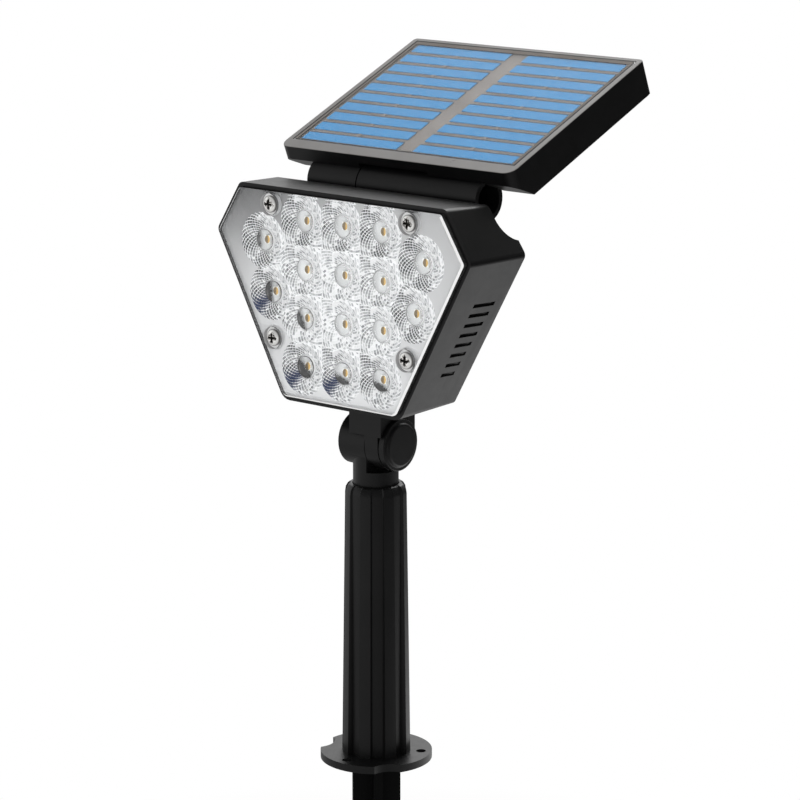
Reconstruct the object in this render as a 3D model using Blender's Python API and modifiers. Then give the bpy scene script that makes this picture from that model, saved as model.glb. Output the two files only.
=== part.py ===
"""Solar garden light: a hexagonal LED head, a hinged solar panel, and a post on a ground spike.

Metres, +Z up. The origin is the centre of the post flange's underside, at ground level.
The lamp shines towards -Y. Each moving group hangs on an empty that sits on its joint axis.
"""

import math

import bmesh
import bpy
from mathutils import Vector

# Clearances
GAP = 0.0003            # between pieces that touch or slide
CUT = 0.001             # how far a cutter runs past the face that it opens
SHARP_ANGLE = 35.0      # edges bent less than this, in degrees, are shaded smooth
AXIS_SIZE = 0.02        # how large a joint's empty is shown

# Post and flange
POST_LENGTH = 0.1268
POST_RADIUS = 0.0130
RIB_COUNT = 8
RIB_TURN = 20.0         # degrees from +X to the first rib
RIB_ANGLE = 25.0        # degrees of the post's girth
RIB_FOOT = 0.0025       # how far a rib stands out at the flange
RIB_HEAD = 0.0008       # and at the shoulder
SHOULDER = 0.0044
SHOULDER_INSET = 0.0024
FLANGE_RADIUS = 0.025
FLANGE_THICK = 0.0034
FLANGE_HOLE = 0.0022
FLANGE_HOLE_CIRCLE = 0.0203
FLANGE_HOLES = 3
NOTCHES = ((-38.0, 0.0028), (-162.0, 0.0040))  # degrees from +X, and depth
NOTCH_RADIUS = 0.010

# Ground spike
SPIKE_LENGTH = 0.150
SPIKE_SHOULDER = 0.030  # straight stretch below the flange
FIN_HALF = 0.0107
FIN_THICK = 0.0040
SPIGOT_LENGTH = 0.022

# Neck
NECK_RADIUS = 0.0101
NECK_INSERT = 0.030     # how deep the neck sits in the post
PIVOT_RISE = 0.0189     # pivot axis above the post's top
DRUM_RADIUS = 0.0116    # cheek, lug and cap share this radius
CHEEK_LEFT = -0.0118
CHEEK_RIGHT = 0.0030
LUG_RIGHT = 0.0107
CAP_THICK = 0.0044
CAP_DISC = 0.0032       # thickness of the cap's wide foot
CAP_BOSS_RADIUS = 0.0098
CAP_ROUND = 0.0012
PIVOT_WASHER_RADIUS = 0.0080
WASHER_THICK = 0.0006

# Fasteners
BOLT_RADIUS = 0.0020
BOLT_HEAD_RADIUS = 0.0036
BOLT_HEAD_HEIGHT = 0.0026
NUT_RADIUS = 0.0040     # across the corners
NUT_HEIGHT = 0.0030
SCREW_RADIUS = 0.00175
SCREW_HEAD_RADIUS = 0.0037
SCREW_HEAD_HEIGHT = 0.0021
SCREW_LENGTH = 0.0160
BOARD_SCREW_RADIUS = 0.0012
BOARD_SCREW_HEAD = 0.0024
BOARD_SCREW_HEAD_HEIGHT = 0.0014
BOARD_SCREW_LENGTH = 0.0055

# Head housing, with heights above the pivot axis
HEAD_FOOT = 0.0178
HEAD_MID = 0.0898
HEAD_TOP = 0.1118
HEAD_TOP_HALF = 0.0576
HEAD_MID_HALF = 0.0712
HEAD_FOOT_HALF = 0.0332
HEAD_FRONT = -0.0233
HEAD_DEPTH = 0.0332
HEAD_CORNER = 0.0030
FOOT_CORNER = 0.0060
FOOT_CORNER_BACK = 0.0025
SMALLEST_CORNER = 0.0015
DEPTH_STEPS = 5
TOP_FLARE = 0.0027      # how far the corners move out towards the back
MID_FLARE = 0.0032
FOOT_FLARE = 0.0028
TOP_DRAFT = 0.0016      # how far the top and the foot move in towards the back
FOOT_DRAFT = 0.0024
WALL = 0.0036
SCOOP_FRONT = 0.0025    # front wall of the hollow that the panel's front edge swings in
SCOOP_RADIUS = 0.0093
SCOOP_HEIGHT = 0.1048   # where the front wall starts to curve back
SCOOP_WALL = 0.0025
RIM = 0.0018
LENS_PROUD = 0.0025
LENS_PLATE = 0.0045
LENS_BEVEL = 0.0008
GASKET_WIDTH = 0.0015
VENT_COUNT = 8
VENT_TOP = 0.0690
VENT_PITCH = 0.0046
VENT_FRONT = 0.0141     # behind the rim
VENT_LONGEST = 0.0133
VENT_SHORTEST = 0.0084
VENT_WIDTH = 0.0020
VENT_DEPTH = 0.0016
LUG_ROOT_LEFT = -0.0052
LUG_ROOT_WIDEN = 0.0020
LUG_ROOT_LOW = 0.0050   # its lower edge, above the pivot axis

# LEDs and the cover's optics
LED_PITCH = 0.0214
LED_COLUMNS = 3
LED_ROWS = 4
LED_TOP_DROP = 0.0138   # top row below the head's top
SIDE_LED_INSETS = (0.0268, 0.0315)  # in from the head's widest corners
SIDE_LED_DROPS = (0.0025, 0.0249)   # and below them
LED_WIDTH = 0.0028
LED_HEIGHT = 0.0035
LED_THICK = 0.0008
CUP_FRONT_RADIUS = 0.0102
CUP_BACK_RADIUS = 0.0060
CUP_DEPTH = 0.0040
CUP_WELL_RADIUS = 0.0046
CUP_WELL_DEPTH = 0.0026
BOARD_THICK = 0.0016
TOP_SCREW_INSET = 0.0188    # in from the head's top corners
TOP_SCREW_DROP = 0.0078     # and below them
FOOT_SCREW_OUTSET = 0.0043  # out from the head's lowest corners
FOOT_SCREW_RISE = 0.0273    # and above them
BOSS_RADIUS = 0.0045
COUNTERBORE_RADIUS = 0.0045
COUNTERBORE_DEPTH = 0.0021

# Inside the head
CELL_RADIUS = 0.0092
CELL_LENGTH = 0.065
CRADLE_LENGTH = 0.040
CRADLE_WALL = 0.0022
CRADLE_DROP = 0.0058    # clear space between the cradle and the scoop's wall above it
CONTROL_WIDTH = 0.058
CONTROL_HEIGHT = 0.026
CONTROL_CENTRE = 0.0430
CONTROL_STANDOFF = 0.0075
STANDOFF_RADIUS = 0.0030
STANDOFF_REACH = 0.0240
SWITCH_SIDE = 0.0060
SWITCH_THICK = 0.0032
BUTTON_RADIUS = 0.0050
BUTTON_FLANGE = 0.0062
BUTTON_FLANGE_THICK = 0.0008
BUTTON_PROUD = 0.0014
BUTTON_TRAVEL = 0.0008

# Panel hinge, placed from the pivot axis
HINGE_BACK = 0.0190
HINGE_HEIGHT = 0.1093
BARREL_RADIUS = 0.0095
BARREL_BORE = 0.0072
BARREL_HALF = 0.0473
BARREL_SEAM = -0.0190   # where the head's knuckle meets the panel's
BARREL_WEB = 0.0100     # solid wall each side of the seam
WEB_SLOPE = 15.0        # degrees that the web's top falls towards the head
WEB_HEIGHT = 0.0228     # hinge axis to the web's foot
SADDLE_START = 0.0180
RELIEF_DEPTH = 0.0023

# Panel, placed from the hinge axis
PANEL_TILT = 22.24
PANEL_WIDTH = 0.130
PANEL_LENGTH = 0.1036
PANEL_THICK = 0.0168
PANEL_SETBACK = 0.0022  # front edge ahead of the hinge axis
PANEL_ABOVE = 0.0159    # top face above the hinge axis
PANEL_FRONT_CORNER = 0.0050
PANEL_BACK_CORNER = 0.0020
PANEL_FRONT_WALL = 0.0065
PANEL_BEVEL = 0.0120
PANEL_UNDER_EDGE = 0.0005
MARGIN_SIDE = 0.0027
MARGIN_FRONT = 0.0066
MARGIN_BACK = 0.0022
TRAY_FLOOR = 0.0022
TRAY_LEDGE = 0.0045
TRAY_BLOCK = 0.0180     # solid stretch behind the front edge
BACKING_THICK = 0.0010
STRING_THICK = 0.0004
SHEET_THICK = 0.0004
STRIP_COUNT = 10
STRIP_LENGTH = 0.0542
STRIP_WIDTH = 0.0069
STRIP_PITCH = 0.00928
STRING_SPACING = 0.0637  # between the two strings' centres
RIBBON_WIDTH = 0.0020

# Worked out from the above
LUG_LEFT = CHEEK_RIGHT + GAP
HEAD_BACK = HEAD_FRONT + HEAD_DEPTH
LENS_FRONT = HEAD_FRONT - LENS_PROUD
LENS_BACK = LENS_FRONT + LENS_PLATE
CUP_BACK = LENS_BACK + CUP_DEPTH
BOARD_FRONT = CUP_BACK + LED_THICK + 2 * GAP
BOARD_BACK = BOARD_FRONT + BOARD_THICK
LEDGE = BOARD_BACK + GAP
SCREW_SEAT = LENS_FRONT + COUNTERBORE_DEPTH - GAP
SCREW_TIP = SCREW_SEAT + SCREW_LENGTH
INNER_BACK = HEAD_BACK - WALL
CRADLE_HALF = CELL_RADIUS + GAP + CRADLE_WALL
CELL_HEIGHT = SCOOP_HEIGHT - SCOOP_RADIUS - SCOOP_WALL - CRADLE_DROP - CRADLE_HALF
PANEL_FRONT = -PANEL_SETBACK
PANEL_BACK = PANEL_LENGTH - PANEL_SETBACK
PANEL_FLOOR = PANEL_ABOVE - PANEL_THICK
LAMINATE_DEPTH = BACKING_THICK + STRING_THICK + SHEET_THICK + 3 * GAP
BARREL_JOINT = BARREL_SEAM - 2 * GAP


# Scene set-up

def clear_scene():
    for obj in list(bpy.data.objects):
        bpy.data.objects.remove(obj, do_unlink=True)


def new_collection(name, hidden=False):
    collection = bpy.data.collections.new(name)
    collection.hide_render = hidden
    bpy.context.scene.collection.children.link(collection)
    return collection


def material(name, colour, roughness, metallic=0.0, alpha=1.0):
    made = bpy.data.materials.new(name)
    made.use_nodes = True
    shader = made.node_tree.nodes["Principled BSDF"]
    shader.inputs["Base Color"].default_value = (*colour, 1.0)
    shader.inputs["Roughness"].default_value = roughness
    shader.inputs["Metallic"].default_value = metallic
    shader.inputs["Alpha"].default_value = alpha
    return made


clear_scene()
PARTS = new_collection("solar_garden_light")
CUTTERS = new_collection("cutters", hidden=True)

BLACK_PLASTIC = material("black_plastic", (0.018, 0.018, 0.019), 0.45)
CLEAR_PLASTIC = material("clear_plastic", (0.85, 0.88, 0.90), 0.08, alpha=0.35)
WHITE_BOARD = material("white_board", (0.80, 0.80, 0.78), 0.40)
GREEN_BOARD = material("green_board", (0.02, 0.16, 0.06), 0.40)
LED_PHOSPHOR = material("led_phosphor", (0.85, 0.55, 0.10), 0.35)
STEEL = material("steel", (0.60, 0.60, 0.60), 0.30, metallic=1.0)
RUBBER = material("rubber", (0.015, 0.015, 0.015), 0.80)
WHITE_RUBBER = material("white_rubber", (0.80, 0.80, 0.78), 0.60)
CELL_SLEEVE = material("cell_sleeve", (0.03, 0.12, 0.35), 0.35)
SWITCH_BLACK = material("switch_black", (0.02, 0.02, 0.02), 0.50)
SILICON = material("silicon", (0.10, 0.32, 0.68), 0.30)
BACKING = material("backing", (0.45, 0.42, 0.40), 0.60)


# Frames on the joint axes

def frame(name, location, parent=None, tilt=0.0):
    empty = bpy.data.objects.new(name, None)
    empty.empty_display_size = AXIS_SIZE
    empty.location = location
    empty.rotation_euler = (math.radians(tilt), 0.0, 0.0)
    empty.parent = parent
    PARTS.objects.link(empty)
    return empty


GROUND = frame("ground_frame", (0.0, 0.0, 0.0))
SWIVEL = frame("swivel_frame", (0.0, 0.0, POST_LENGTH), GROUND)
PIVOT = frame("pivot_frame", (0.0, 0.0, PIVOT_RISE), SWIVEL)
HINGE = frame("hinge_frame", (0.0, HINGE_BACK, HINGE_HEIGHT), PIVOT, PANEL_TILT)


# Shape helpers

def add_object(name, mesh, parent, finish):
    obj = bpy.data.objects.new(name, mesh)
    obj.parent = parent
    if finish is None:
        CUTTERS.objects.link(obj)
        obj.hide_render = True
        obj.display_type = "WIRE"
    else:
        PARTS.objects.link(obj)
        mesh.materials.append(finish)
    return obj


def mesh_of(name, bm):
    bmesh.ops.recalc_face_normals(bm, faces=bm.faces)
    mesh = bpy.data.meshes.new(name)
    bm.to_mesh(mesh)
    bm.free()
    mesh.shade_smooth()
    mesh.set_sharp_from_angle(angle=math.radians(SHARP_ANGLE))
    return mesh


PLACE = {
    "X": lambda u, v, w: (w, u, v),
    "Y": lambda u, v, w: (u, w, v),
    "Z": lambda u, v, w: (u, v, w),
}


def loft(name, sections, along, parent, finish=None):
    """Skin over outlines of equal point count, each given with its level along the axis."""
    bm = bmesh.new()
    loops = []
    for level, outline in sections:
        ring = [bm.verts.new(PLACE[along](u, v, level)) for u, v in outline]
        loops.append([bm.edges.new((a, b)) for a, b in zip(ring, ring[1:] + ring[:1])])
    for low, high in zip(loops, loops[1:]):
        bmesh.ops.bridge_loops(bm, edges=low + high)
    for end in (loops[0], loops[-1]):
        bmesh.ops.contextual_create(bm, geom=end)
    bmesh.ops.connect_verts_nonplanar(bm, angle_limit=0.0001, faces=bm.faces)
    return add_object(name, mesh_of(name, bm), parent, finish)


def prism(name, outline, along, low, high, parent, finish=None):
    return loft(name, [(low, outline), (high, outline)], along, parent, finish)


def block(name, low, high, parent, finish=None):
    bm = bmesh.new()
    bmesh.ops.create_cube(bm, size=1.0)
    low, high = Vector(low), Vector(high)
    bmesh.ops.scale(bm, vec=high - low, verts=bm.verts)
    bmesh.ops.translate(bm, vec=(low + high) / 2, verts=bm.verts)
    return add_object(name, mesh_of(name, bm), parent, finish)


AXIS_TURN = {"X": (0.0, math.pi / 2, 0.0), "Y": (-math.pi / 2, 0.0, 0.0), "Z": (0.0, 0.0, 0.0)}


def turned(name, profile, along, centre, parent, finish=None, sides=32):
    """Turn (level, radius) points, listed from the highest level down, about an axis."""
    bm = bmesh.new()
    points = [(0.0, profile[0][0])] + [(r, level) for level, r in profile] + [(0.0, profile[-1][0])]
    verts = [bm.verts.new((r, 0.0, level)) for r, level in points]
    for a, b in zip(verts, verts[1:]):
        bm.edges.new((a, b))
    mesh = bpy.data.meshes.new(name)
    bm.to_mesh(mesh)
    bm.free()
    obj = add_object(name, mesh, parent, finish)
    obj.location = centre
    obj.rotation_euler = AXIS_TURN[along]
    screw = obj.modifiers.new("turn", "SCREW")
    screw.steps = sides
    screw.render_steps = sides
    screw.use_merge_vertices = True
    screw.merge_threshold = 0.00001
    screw.use_smooth_shade = False
    return obj


def rod(name, radius, low, high, along, centre, parent, finish=None, sides=32):
    bm = bmesh.new()
    bmesh.ops.create_cone(bm, cap_ends=True, segments=sides, radius1=radius, radius2=radius,
                          depth=high - low)
    bmesh.ops.translate(bm, vec=(0.0, 0.0, (low + high) / 2), verts=bm.verts)
    obj = add_object(name, mesh_of(name, bm), parent, finish)
    obj.location = centre
    obj.rotation_euler = AXIS_TURN[along]
    return obj


def combine(obj, other, operation):
    made = obj.modifiers.new(other.name, "BOOLEAN")
    made.operation = operation
    made.solver = "EXACT"
    made.object = other
    return obj


def cut(obj, *others):
    for other in others:
        combine(obj, other, "DIFFERENCE")
    return obj


def join(obj, *others):
    for other in others:
        combine(obj, other, "UNION")
    return obj


# Outline helpers

def rounded(corners, radii, steps=4):
    """Replace each corner of an outline with an arc of its own radius."""
    points = []
    count = len(corners)
    for i, radius in enumerate(radii):
        here = Vector(corners[i])
        before = (Vector(corners[i - 1]) - here).normalized()
        after = (Vector(corners[(i + 1) % count]) - here).normalized()
        half = before.angle(after) / 2
        centre = here + (before + after).normalized() * radius / math.sin(half)
        start = here + before * radius / math.tan(half) - centre
        sweep = start.angle_signed(here + after * radius / math.tan(half) - centre)
        for step in range(steps + 1):
            turn = -sweep * step / steps
            arm = Vector((start.x * math.cos(turn) - start.y * math.sin(turn),
                          start.x * math.sin(turn) + start.y * math.cos(turn)))
            points.append(tuple(centre + arm))
    return points


def inset(corners, distance):
    """Move every side of a convex outline inwards."""
    middle = sum((Vector(corner) for corner in corners), Vector((0.0, 0.0))) / len(corners)
    sides = []
    for i, corner in enumerate(corners):
        start = Vector(corner)
        along = (Vector(corners[(i + 1) % len(corners)]) - start).normalized()
        inward = Vector((-along.y, along.x))
        if inward.dot(middle - start) < 0:
            inward = -inward
        sides.append((start + inward * distance, along))
    moved = []
    for (p, t), (q, s) in zip(sides[-1:] + sides[:-1], sides):
        reach = ((q - p).x * s.y - (q - p).y * s.x) / (t.x * s.y - t.y * s.x)
        moved.append(tuple(p + t * reach))
    return moved


def rectangle(left, right, low, high):
    return [(left, low), (right, low), (right, high), (left, high)]


def head_corners(level):
    """The head's six corners at a depth, between its front and its back."""
    share = (level - HEAD_FRONT) / HEAD_DEPTH
    right = [(HEAD_TOP_HALF + TOP_FLARE * share, HEAD_TOP - TOP_DRAFT * share),
             (HEAD_MID_HALF + MID_FLARE * share, HEAD_MID),
             (HEAD_FOOT_HALF + FOOT_FLARE * share, HEAD_FOOT + FOOT_DRAFT * share)]
    return right + [(-x, z) for x, z in reversed(right)]


def head_outline(level, distance=0.0):
    """The head's rounded outline at a depth, moved inwards by a distance."""
    share = (level - HEAD_FRONT) / HEAD_DEPTH
    sizes = [HEAD_CORNER, HEAD_CORNER, FOOT_CORNER + (FOOT_CORNER_BACK - FOOT_CORNER) * share]
    radii = [max(size - distance, SMALLEST_CORNER) for size in sizes + sizes[::-1]]
    return rounded(inset(head_corners(level), distance), radii)


def lens_outline(distance=0.0):
    return head_outline(HEAD_FRONT, RIM + GAP + distance)


def scoop_outline(grow=0.0):
    """The hollow behind the head's top, seen from the side, grown into the head."""
    centre = SCOOP_FRONT + SCOOP_RADIUS
    reach = SCOOP_RADIUS + grow
    turns = [math.pi * (1 + i / 24) for i in range(13)]
    arc = [(centre + reach * math.cos(turn), SCOOP_HEIGHT + reach * math.sin(turn)) for turn in turns]
    over, behind = HEAD_TOP + PANEL_THICK, HINGE_BACK + BARREL_RADIUS
    return arc + [(behind, SCOOP_HEIGHT - reach), (behind, over), (centre - reach, over)]


def led_places():
    """LED centres, across and up from the pivot axis, row by row."""
    places = []
    for row in range(LED_ROWS):
        for column in range(LED_COLUMNS):
            across = (column - (LED_COLUMNS - 1) / 2) * LED_PITCH
            places.append((across, HEAD_TOP - LED_TOP_DROP - row * LED_PITCH))
    for inwards, drop in zip(SIDE_LED_INSETS, SIDE_LED_DROPS):
        places += [(side * (HEAD_MID_HALF - inwards), HEAD_MID - drop) for side in (-1, 1)]
    return places


def screw_places():
    upper = (HEAD_TOP_HALF - TOP_SCREW_INSET, HEAD_TOP - TOP_SCREW_DROP)
    lower = (HEAD_FOOT_HALF + FOOT_SCREW_OUTSET, HEAD_FOOT + FOOT_SCREW_RISE)
    return [(side * across, up) for across, up in (upper, lower) for side in (-1, 1)]


# Post, flange and spike

def post_outline(rib):
    """The post's girth, with ribs that stand out by the given height."""
    points = []
    for i in range(RIB_COUNT):
        middle = math.radians(RIB_TURN) + 2 * math.pi * i / RIB_COUNT
        half = math.radians(RIB_ANGLE) / 2
        valley = math.pi / RIB_COUNT
        stops = [(middle - half, 0.0), (middle - half * 0.8, rib), (middle, rib),
                 (middle + half * 0.8, rib), (middle + half, 0.0), (middle + valley, 0.0)]
        for turn, rise in stops:
            reach = POST_RADIUS + rise
            points.append((reach * math.cos(turn), reach * math.sin(turn)))
    return points


def scaled(outline, factor):
    return [(u * factor, v * factor) for u, v in outline]


def make_post():
    head = post_outline(RIB_HEAD)
    sections = [(FLANGE_THICK / 2, post_outline(RIB_FOOT))]
    for turn in (0.0, 30.0, 60.0, 80.0):
        level = POST_LENGTH - SHOULDER * (1 - math.sin(math.radians(turn)))
        pulled_in = SHOULDER_INSET * (1 - math.cos(math.radians(turn)))
        sections.append((level, scaled(head, 1 - pulled_in / POST_RADIUS)))
    post = loft("post", sections, "Z", GROUND, BLACK_PLASTIC)
    flange = rod("flange_plate", FLANGE_RADIUS, 0.0, FLANGE_THICK, "Z", (0, 0, 0), GROUND, sides=64)
    for i in range(FLANGE_HOLES):
        turn = math.radians(270.0) + 2 * math.pi * i / FLANGE_HOLES
        place = (FLANGE_HOLE_CIRCLE * math.cos(turn), FLANGE_HOLE_CIRCLE * math.sin(turn), 0.0)
        cut(flange, rod(f"flange_hole_{i + 1}", FLANGE_HOLE, -CUT, FLANGE_THICK + CUT, "Z", place, GROUND,
                        sides=20))
    for i, (degrees, depth) in enumerate(NOTCHES):
        turn = math.radians(degrees)
        out = FLANGE_RADIUS - depth + NOTCH_RADIUS
        place = (out * math.cos(turn), out * math.sin(turn), 0.0)
        cut(flange, rod(f"flange_notch_{i + 1}", NOTCH_RADIUS, -CUT, FLANGE_THICK + CUT, "Z", place, GROUND))
    bore = rod("post_bore", NECK_RADIUS + GAP, -CUT, POST_LENGTH + CUT, "Z", (0, 0, 0), GROUND, sides=40)
    return cut(join(post, flange), bore)


def make_spike():
    outline = [(FIN_HALF, -GAP), (FIN_HALF, -SPIKE_SHOULDER), (FIN_THICK / 2, -SPIKE_LENGTH),
               (-FIN_THICK / 2, -SPIKE_LENGTH), (-FIN_HALF, -SPIKE_SHOULDER), (-FIN_HALF, -GAP)]
    spike = rod("ground_spike", NECK_RADIUS, -2 * CUT, SPIGOT_LENGTH, "Z", (0, 0, 0), GROUND, BLACK_PLASTIC)
    for i, turn in enumerate((45.0, 135.0)):
        fin = prism(f"spike_fin_{i + 1}", outline, "Y", -FIN_THICK / 2, FIN_THICK / 2, GROUND)
        fin.rotation_euler = (0.0, 0.0, math.radians(turn))
        join(spike, fin)
    return spike


# Neck and its tilting pivot

def make_neck():
    neck = rod("neck", NECK_RADIUS, -NECK_INSERT, PIVOT_RISE, "Z", (0, 0, 0), SWIVEL, BLACK_PLASTIC,
               sides=40)
    centre = (0.0, 0.0, PIVOT_RISE)
    cheek = rod("neck_cheek", DRUM_RADIUS, CHEEK_LEFT, CHEEK_RIGHT, "X", centre, SWIVEL, sides=40)
    room = block("lug_room", (CHEEK_RIGHT - GAP, -DRUM_RADIUS, PIVOT_RISE - DRUM_RADIUS - 3 * GAP),
                 (DRUM_RADIUS, DRUM_RADIUS, PIVOT_RISE + DRUM_RADIUS), SWIVEL)
    left = CHEEK_LEFT - CUT
    hole = rod("neck_bolt_hole", BOLT_RADIUS + GAP, left, CHEEK_RIGHT + CUT, "X", centre, SWIVEL)
    pocket = rod("neck_nut_pocket", NUT_RADIUS + GAP, left, CHEEK_LEFT + NUT_HEIGHT + GAP, "X", centre,
                 SWIVEL, sides=6)
    return cut(join(cut(neck, room), cheek), hole, pocket)


def make_nut(name, low, parent, finish=STEEL):
    nut = rod(name, NUT_RADIUS, low, low + NUT_HEIGHT, "X", (0, 0, 0), parent, finish, sides=6)
    hole = rod(f"{name}_thread", BOLT_RADIUS + GAP, low - CUT, low + NUT_HEIGHT + CUT, "X", (0, 0, 0),
               parent)
    return cut(nut, hole)


def make_washer(name, radius, low, parent, finish):
    washer = rod(name, radius, low, low + WASHER_THICK, "X", (0, 0, 0), parent, finish)
    hole = rod(f"{name}_hole", BOLT_RADIUS + GAP, low - CUT, low + WASHER_THICK + CUT, "X", (0, 0, 0),
               parent)
    return cut(washer, hole)


def make_bolt(name, head_low, tip, parent):
    """A hex-socket bolt along X, its head to the right of head_low and its tip at the left."""
    profile = [(head_low + BOLT_HEAD_HEIGHT, BOLT_HEAD_RADIUS), (head_low, BOLT_HEAD_RADIUS),
               (head_low, BOLT_RADIUS), (tip, BOLT_RADIUS)]
    bolt = turned(name, profile, "X", (0, 0, 0), parent, STEEL, sides=24)
    floor, rim = head_low + BOLT_HEAD_HEIGHT * 0.4, head_low + BOLT_HEAD_HEIGHT + CUT
    socket = rod(f"{name}_socket", BOLT_RADIUS, floor, rim, "X", (0, 0, 0), parent, sides=6)
    return cut(bolt, socket)


def pivot_head_seat():
    return LUG_RIGHT - BOLT_HEAD_HEIGHT - 2 * GAP


def make_pivot():
    make_washer("pivot_washer", PIVOT_WASHER_RADIUS, CHEEK_RIGHT + GAP, PIVOT, RUBBER)
    make_bolt("pivot_bolt", pivot_head_seat() + GAP, CHEEK_LEFT + GAP, PIVOT)
    make_nut("pivot_nut", CHEEK_LEFT, PIVOT)
    low = LUG_RIGHT + GAP
    profile = []
    for turn in (0.0, 30.0, 60.0, 90.0):
        back = CAP_ROUND * (1 - math.cos(math.radians(turn)))
        inwards = CAP_ROUND * (1 - math.sin(math.radians(turn)))
        profile.append((low + CAP_THICK - back, CAP_BOSS_RADIUS - inwards))
    profile += [(low + CAP_DISC, CAP_BOSS_RADIUS), (low + CAP_DISC, DRUM_RADIUS), (low, DRUM_RADIUS)]
    turned("pivot_cap", profile, "X", (0, 0, 0), PIVOT, BLACK_PLASTIC, sides=40)


# Head housing

def lug_parts():
    turns = [math.pi * (1 + i / 16) for i in range(17)]
    arc = [(DRUM_RADIUS * math.cos(turn), DRUM_RADIUS * math.sin(turn)) for turn in turns]
    into = HEAD_FOOT + FOOT_DRAFT + WALL * 0.6
    outline = arc + [(HEAD_BACK - WALL * 0.3, into), (-DRUM_RADIUS, into)]
    lug = prism("head_lug", outline, "X", LUG_LEFT, LUG_RIGHT, PIVOT)
    right = LUG_RIGHT + LUG_ROOT_WIDEN
    root = block("head_lug_root", (LUG_ROOT_LEFT, -DRUM_RADIUS - GAP, LUG_ROOT_LOW),
                 (right, DRUM_RADIUS, into - CUT / 2), PIVOT)
    over_drum = rod("root_drum_room", DRUM_RADIUS + 2 * GAP, LUG_ROOT_LEFT - CUT, right + CUT, "X",
                    (0, 0, 0), PIVOT, sides=40)
    return lug, cut(root, over_drum)


def hinge_centre():
    return (0.0, HINGE_BACK, HINGE_HEIGHT)


def hinge_washer_radius():
    return BARREL_RADIUS - RELIEF_DEPTH


def make_arm():
    """The head's long knuckle and the web that carries it, below the way of the panel's front edge."""
    arm = rod("hinge_arm", BARREL_RADIUS, BARREL_SEAM, BARREL_HALF, "X", hinge_centre(), PIVOT,
              BLACK_PLASTIC, sides=40)
    inside = HEAD_BACK - WALL / 2
    drop = (HINGE_BACK - inside) * math.tan(math.radians(WEB_SLOPE)) + BARREL_RADIUS / 3
    outline = [(HINGE_BACK, HINGE_HEIGHT), (inside, HINGE_HEIGHT - drop),
               (inside, HINGE_HEIGHT - WEB_HEIGHT),
               (HINGE_BACK + BARREL_RADIUS / 4, HINGE_HEIGHT - BARREL_RADIUS * 0.9)]
    web = prism("arm_web", outline, "X", BARREL_SEAM + GAP, BARREL_HALF - GAP, PIVOT)
    reach = HEAD_MID_HALF
    room = block("arm_head_room", (-reach, HEAD_FRONT, HEAD_FOOT), (reach, HEAD_BACK + GAP, HEAD_TOP + CUT),
                 PIVOT)
    hollow = prism("arm_scoop_room", scoop_outline(-GAP), "X", -2 * reach, 2 * reach, PIVOT)
    return cut(join(arm, web), cut(room, hollow), *barrel_bores())


def boss_parts():
    """Four bosses: the LED board rests on them, and the cover screws bite in their ends."""
    made = []
    for i, (x, z) in enumerate(screw_places()):
        made.append(rod(f"cover_boss_{i + 1}", BOSS_RADIUS, LEDGE, INNER_BACK + WALL * 0.5, "Y",
                        (x, 0.0, z), PIVOT, sides=20))
    return made


def standoff_places():
    return [(side * STANDOFF_REACH, CONTROL_CENTRE) for side in (-1, 1)]


def standoff_parts():
    made = []
    for i, (x, z) in enumerate(standoff_places()):
        low = INNER_BACK - CONTROL_STANDOFF
        made.append(rod(f"board_standoff_{i + 1}", STANDOFF_RADIUS, low, INNER_BACK + WALL * 0.5, "Y",
                        (x, 0.0, z), PIVOT, sides=16))
    return made


def vent_cutters():
    """Slots on both lower sides, deepest at the front, shorter towards the foot."""
    corners = head_corners(HEAD_FRONT + VENT_FRONT)
    top, foot = Vector(corners[1]), Vector(corners[2])
    lean = math.atan2(top.x - foot.x, top.y - foot.y)
    made = []
    for side in (-1, 1):
        for i in range(VENT_COUNT):
            up = VENT_TOP - i * VENT_PITCH
            out = foot.x + (up - foot.y) * math.tan(lean)
            length = VENT_LONGEST + (VENT_SHORTEST - VENT_LONGEST) * i / (VENT_COUNT - 1)
            start = HEAD_FRONT + VENT_FRONT
            over = 3 * VENT_DEPTH
            wedge = [(-VENT_DEPTH, start), (over, start), (over, start + length), (0.0, start + length)]
            slot = prism(f"vent_{'left' if side < 0 else 'right'}_{i + 1}", wedge, "Z", -VENT_WIDTH / 2,
                         VENT_WIDTH / 2, PIVOT)
            slot.location = (side * out, 0.0, up)
            slot.rotation_euler = (0.0, lean if side > 0 else math.pi - lean, 0.0)
            made.append(slot)
    return made


def pivot_bores():
    """The lug's bolt hole, the seat for the bolt's head, and the recess for the washer."""
    centre = (0.0, 0.0, 0.0)
    recess_floor = LUG_LEFT + WASHER_THICK + GAP
    left, right = LUG_LEFT - CUT, LUG_RIGHT + CUT
    hole = rod("lug_bolt_hole", BOLT_RADIUS + GAP, left, right, "X", centre, PIVOT)
    seat = rod("lug_head_seat", BOLT_HEAD_RADIUS + GAP, pivot_head_seat(), right, "X", centre, PIVOT)
    recess = rod("lug_washer_recess", PIVOT_WASHER_RADIUS + GAP, left, recess_floor, "X", centre, PIVOT)
    return hole, seat, recess


def barrel_bores():
    """The barrel's open bore, the bolt hole through its end wall, and the recess for the washer."""
    centre = hinge_centre()
    wall = BARREL_SEAM + BARREL_WEB
    recess_floor = BARREL_SEAM + WASHER_THICK
    bore = rod("barrel_bore", BARREL_BORE, wall, BARREL_HALF + CUT, "X", centre, PIVOT)
    hole = rod("barrel_bolt_hole", BOLT_RADIUS + GAP, BARREL_SEAM - CUT, wall + CUT, "X", centre, PIVOT)
    recess = rod("barrel_washer_recess", hinge_washer_radius() + GAP, BARREL_SEAM - CUT, recess_floor, "X",
                 centre, PIVOT)
    return bore, hole, recess


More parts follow.
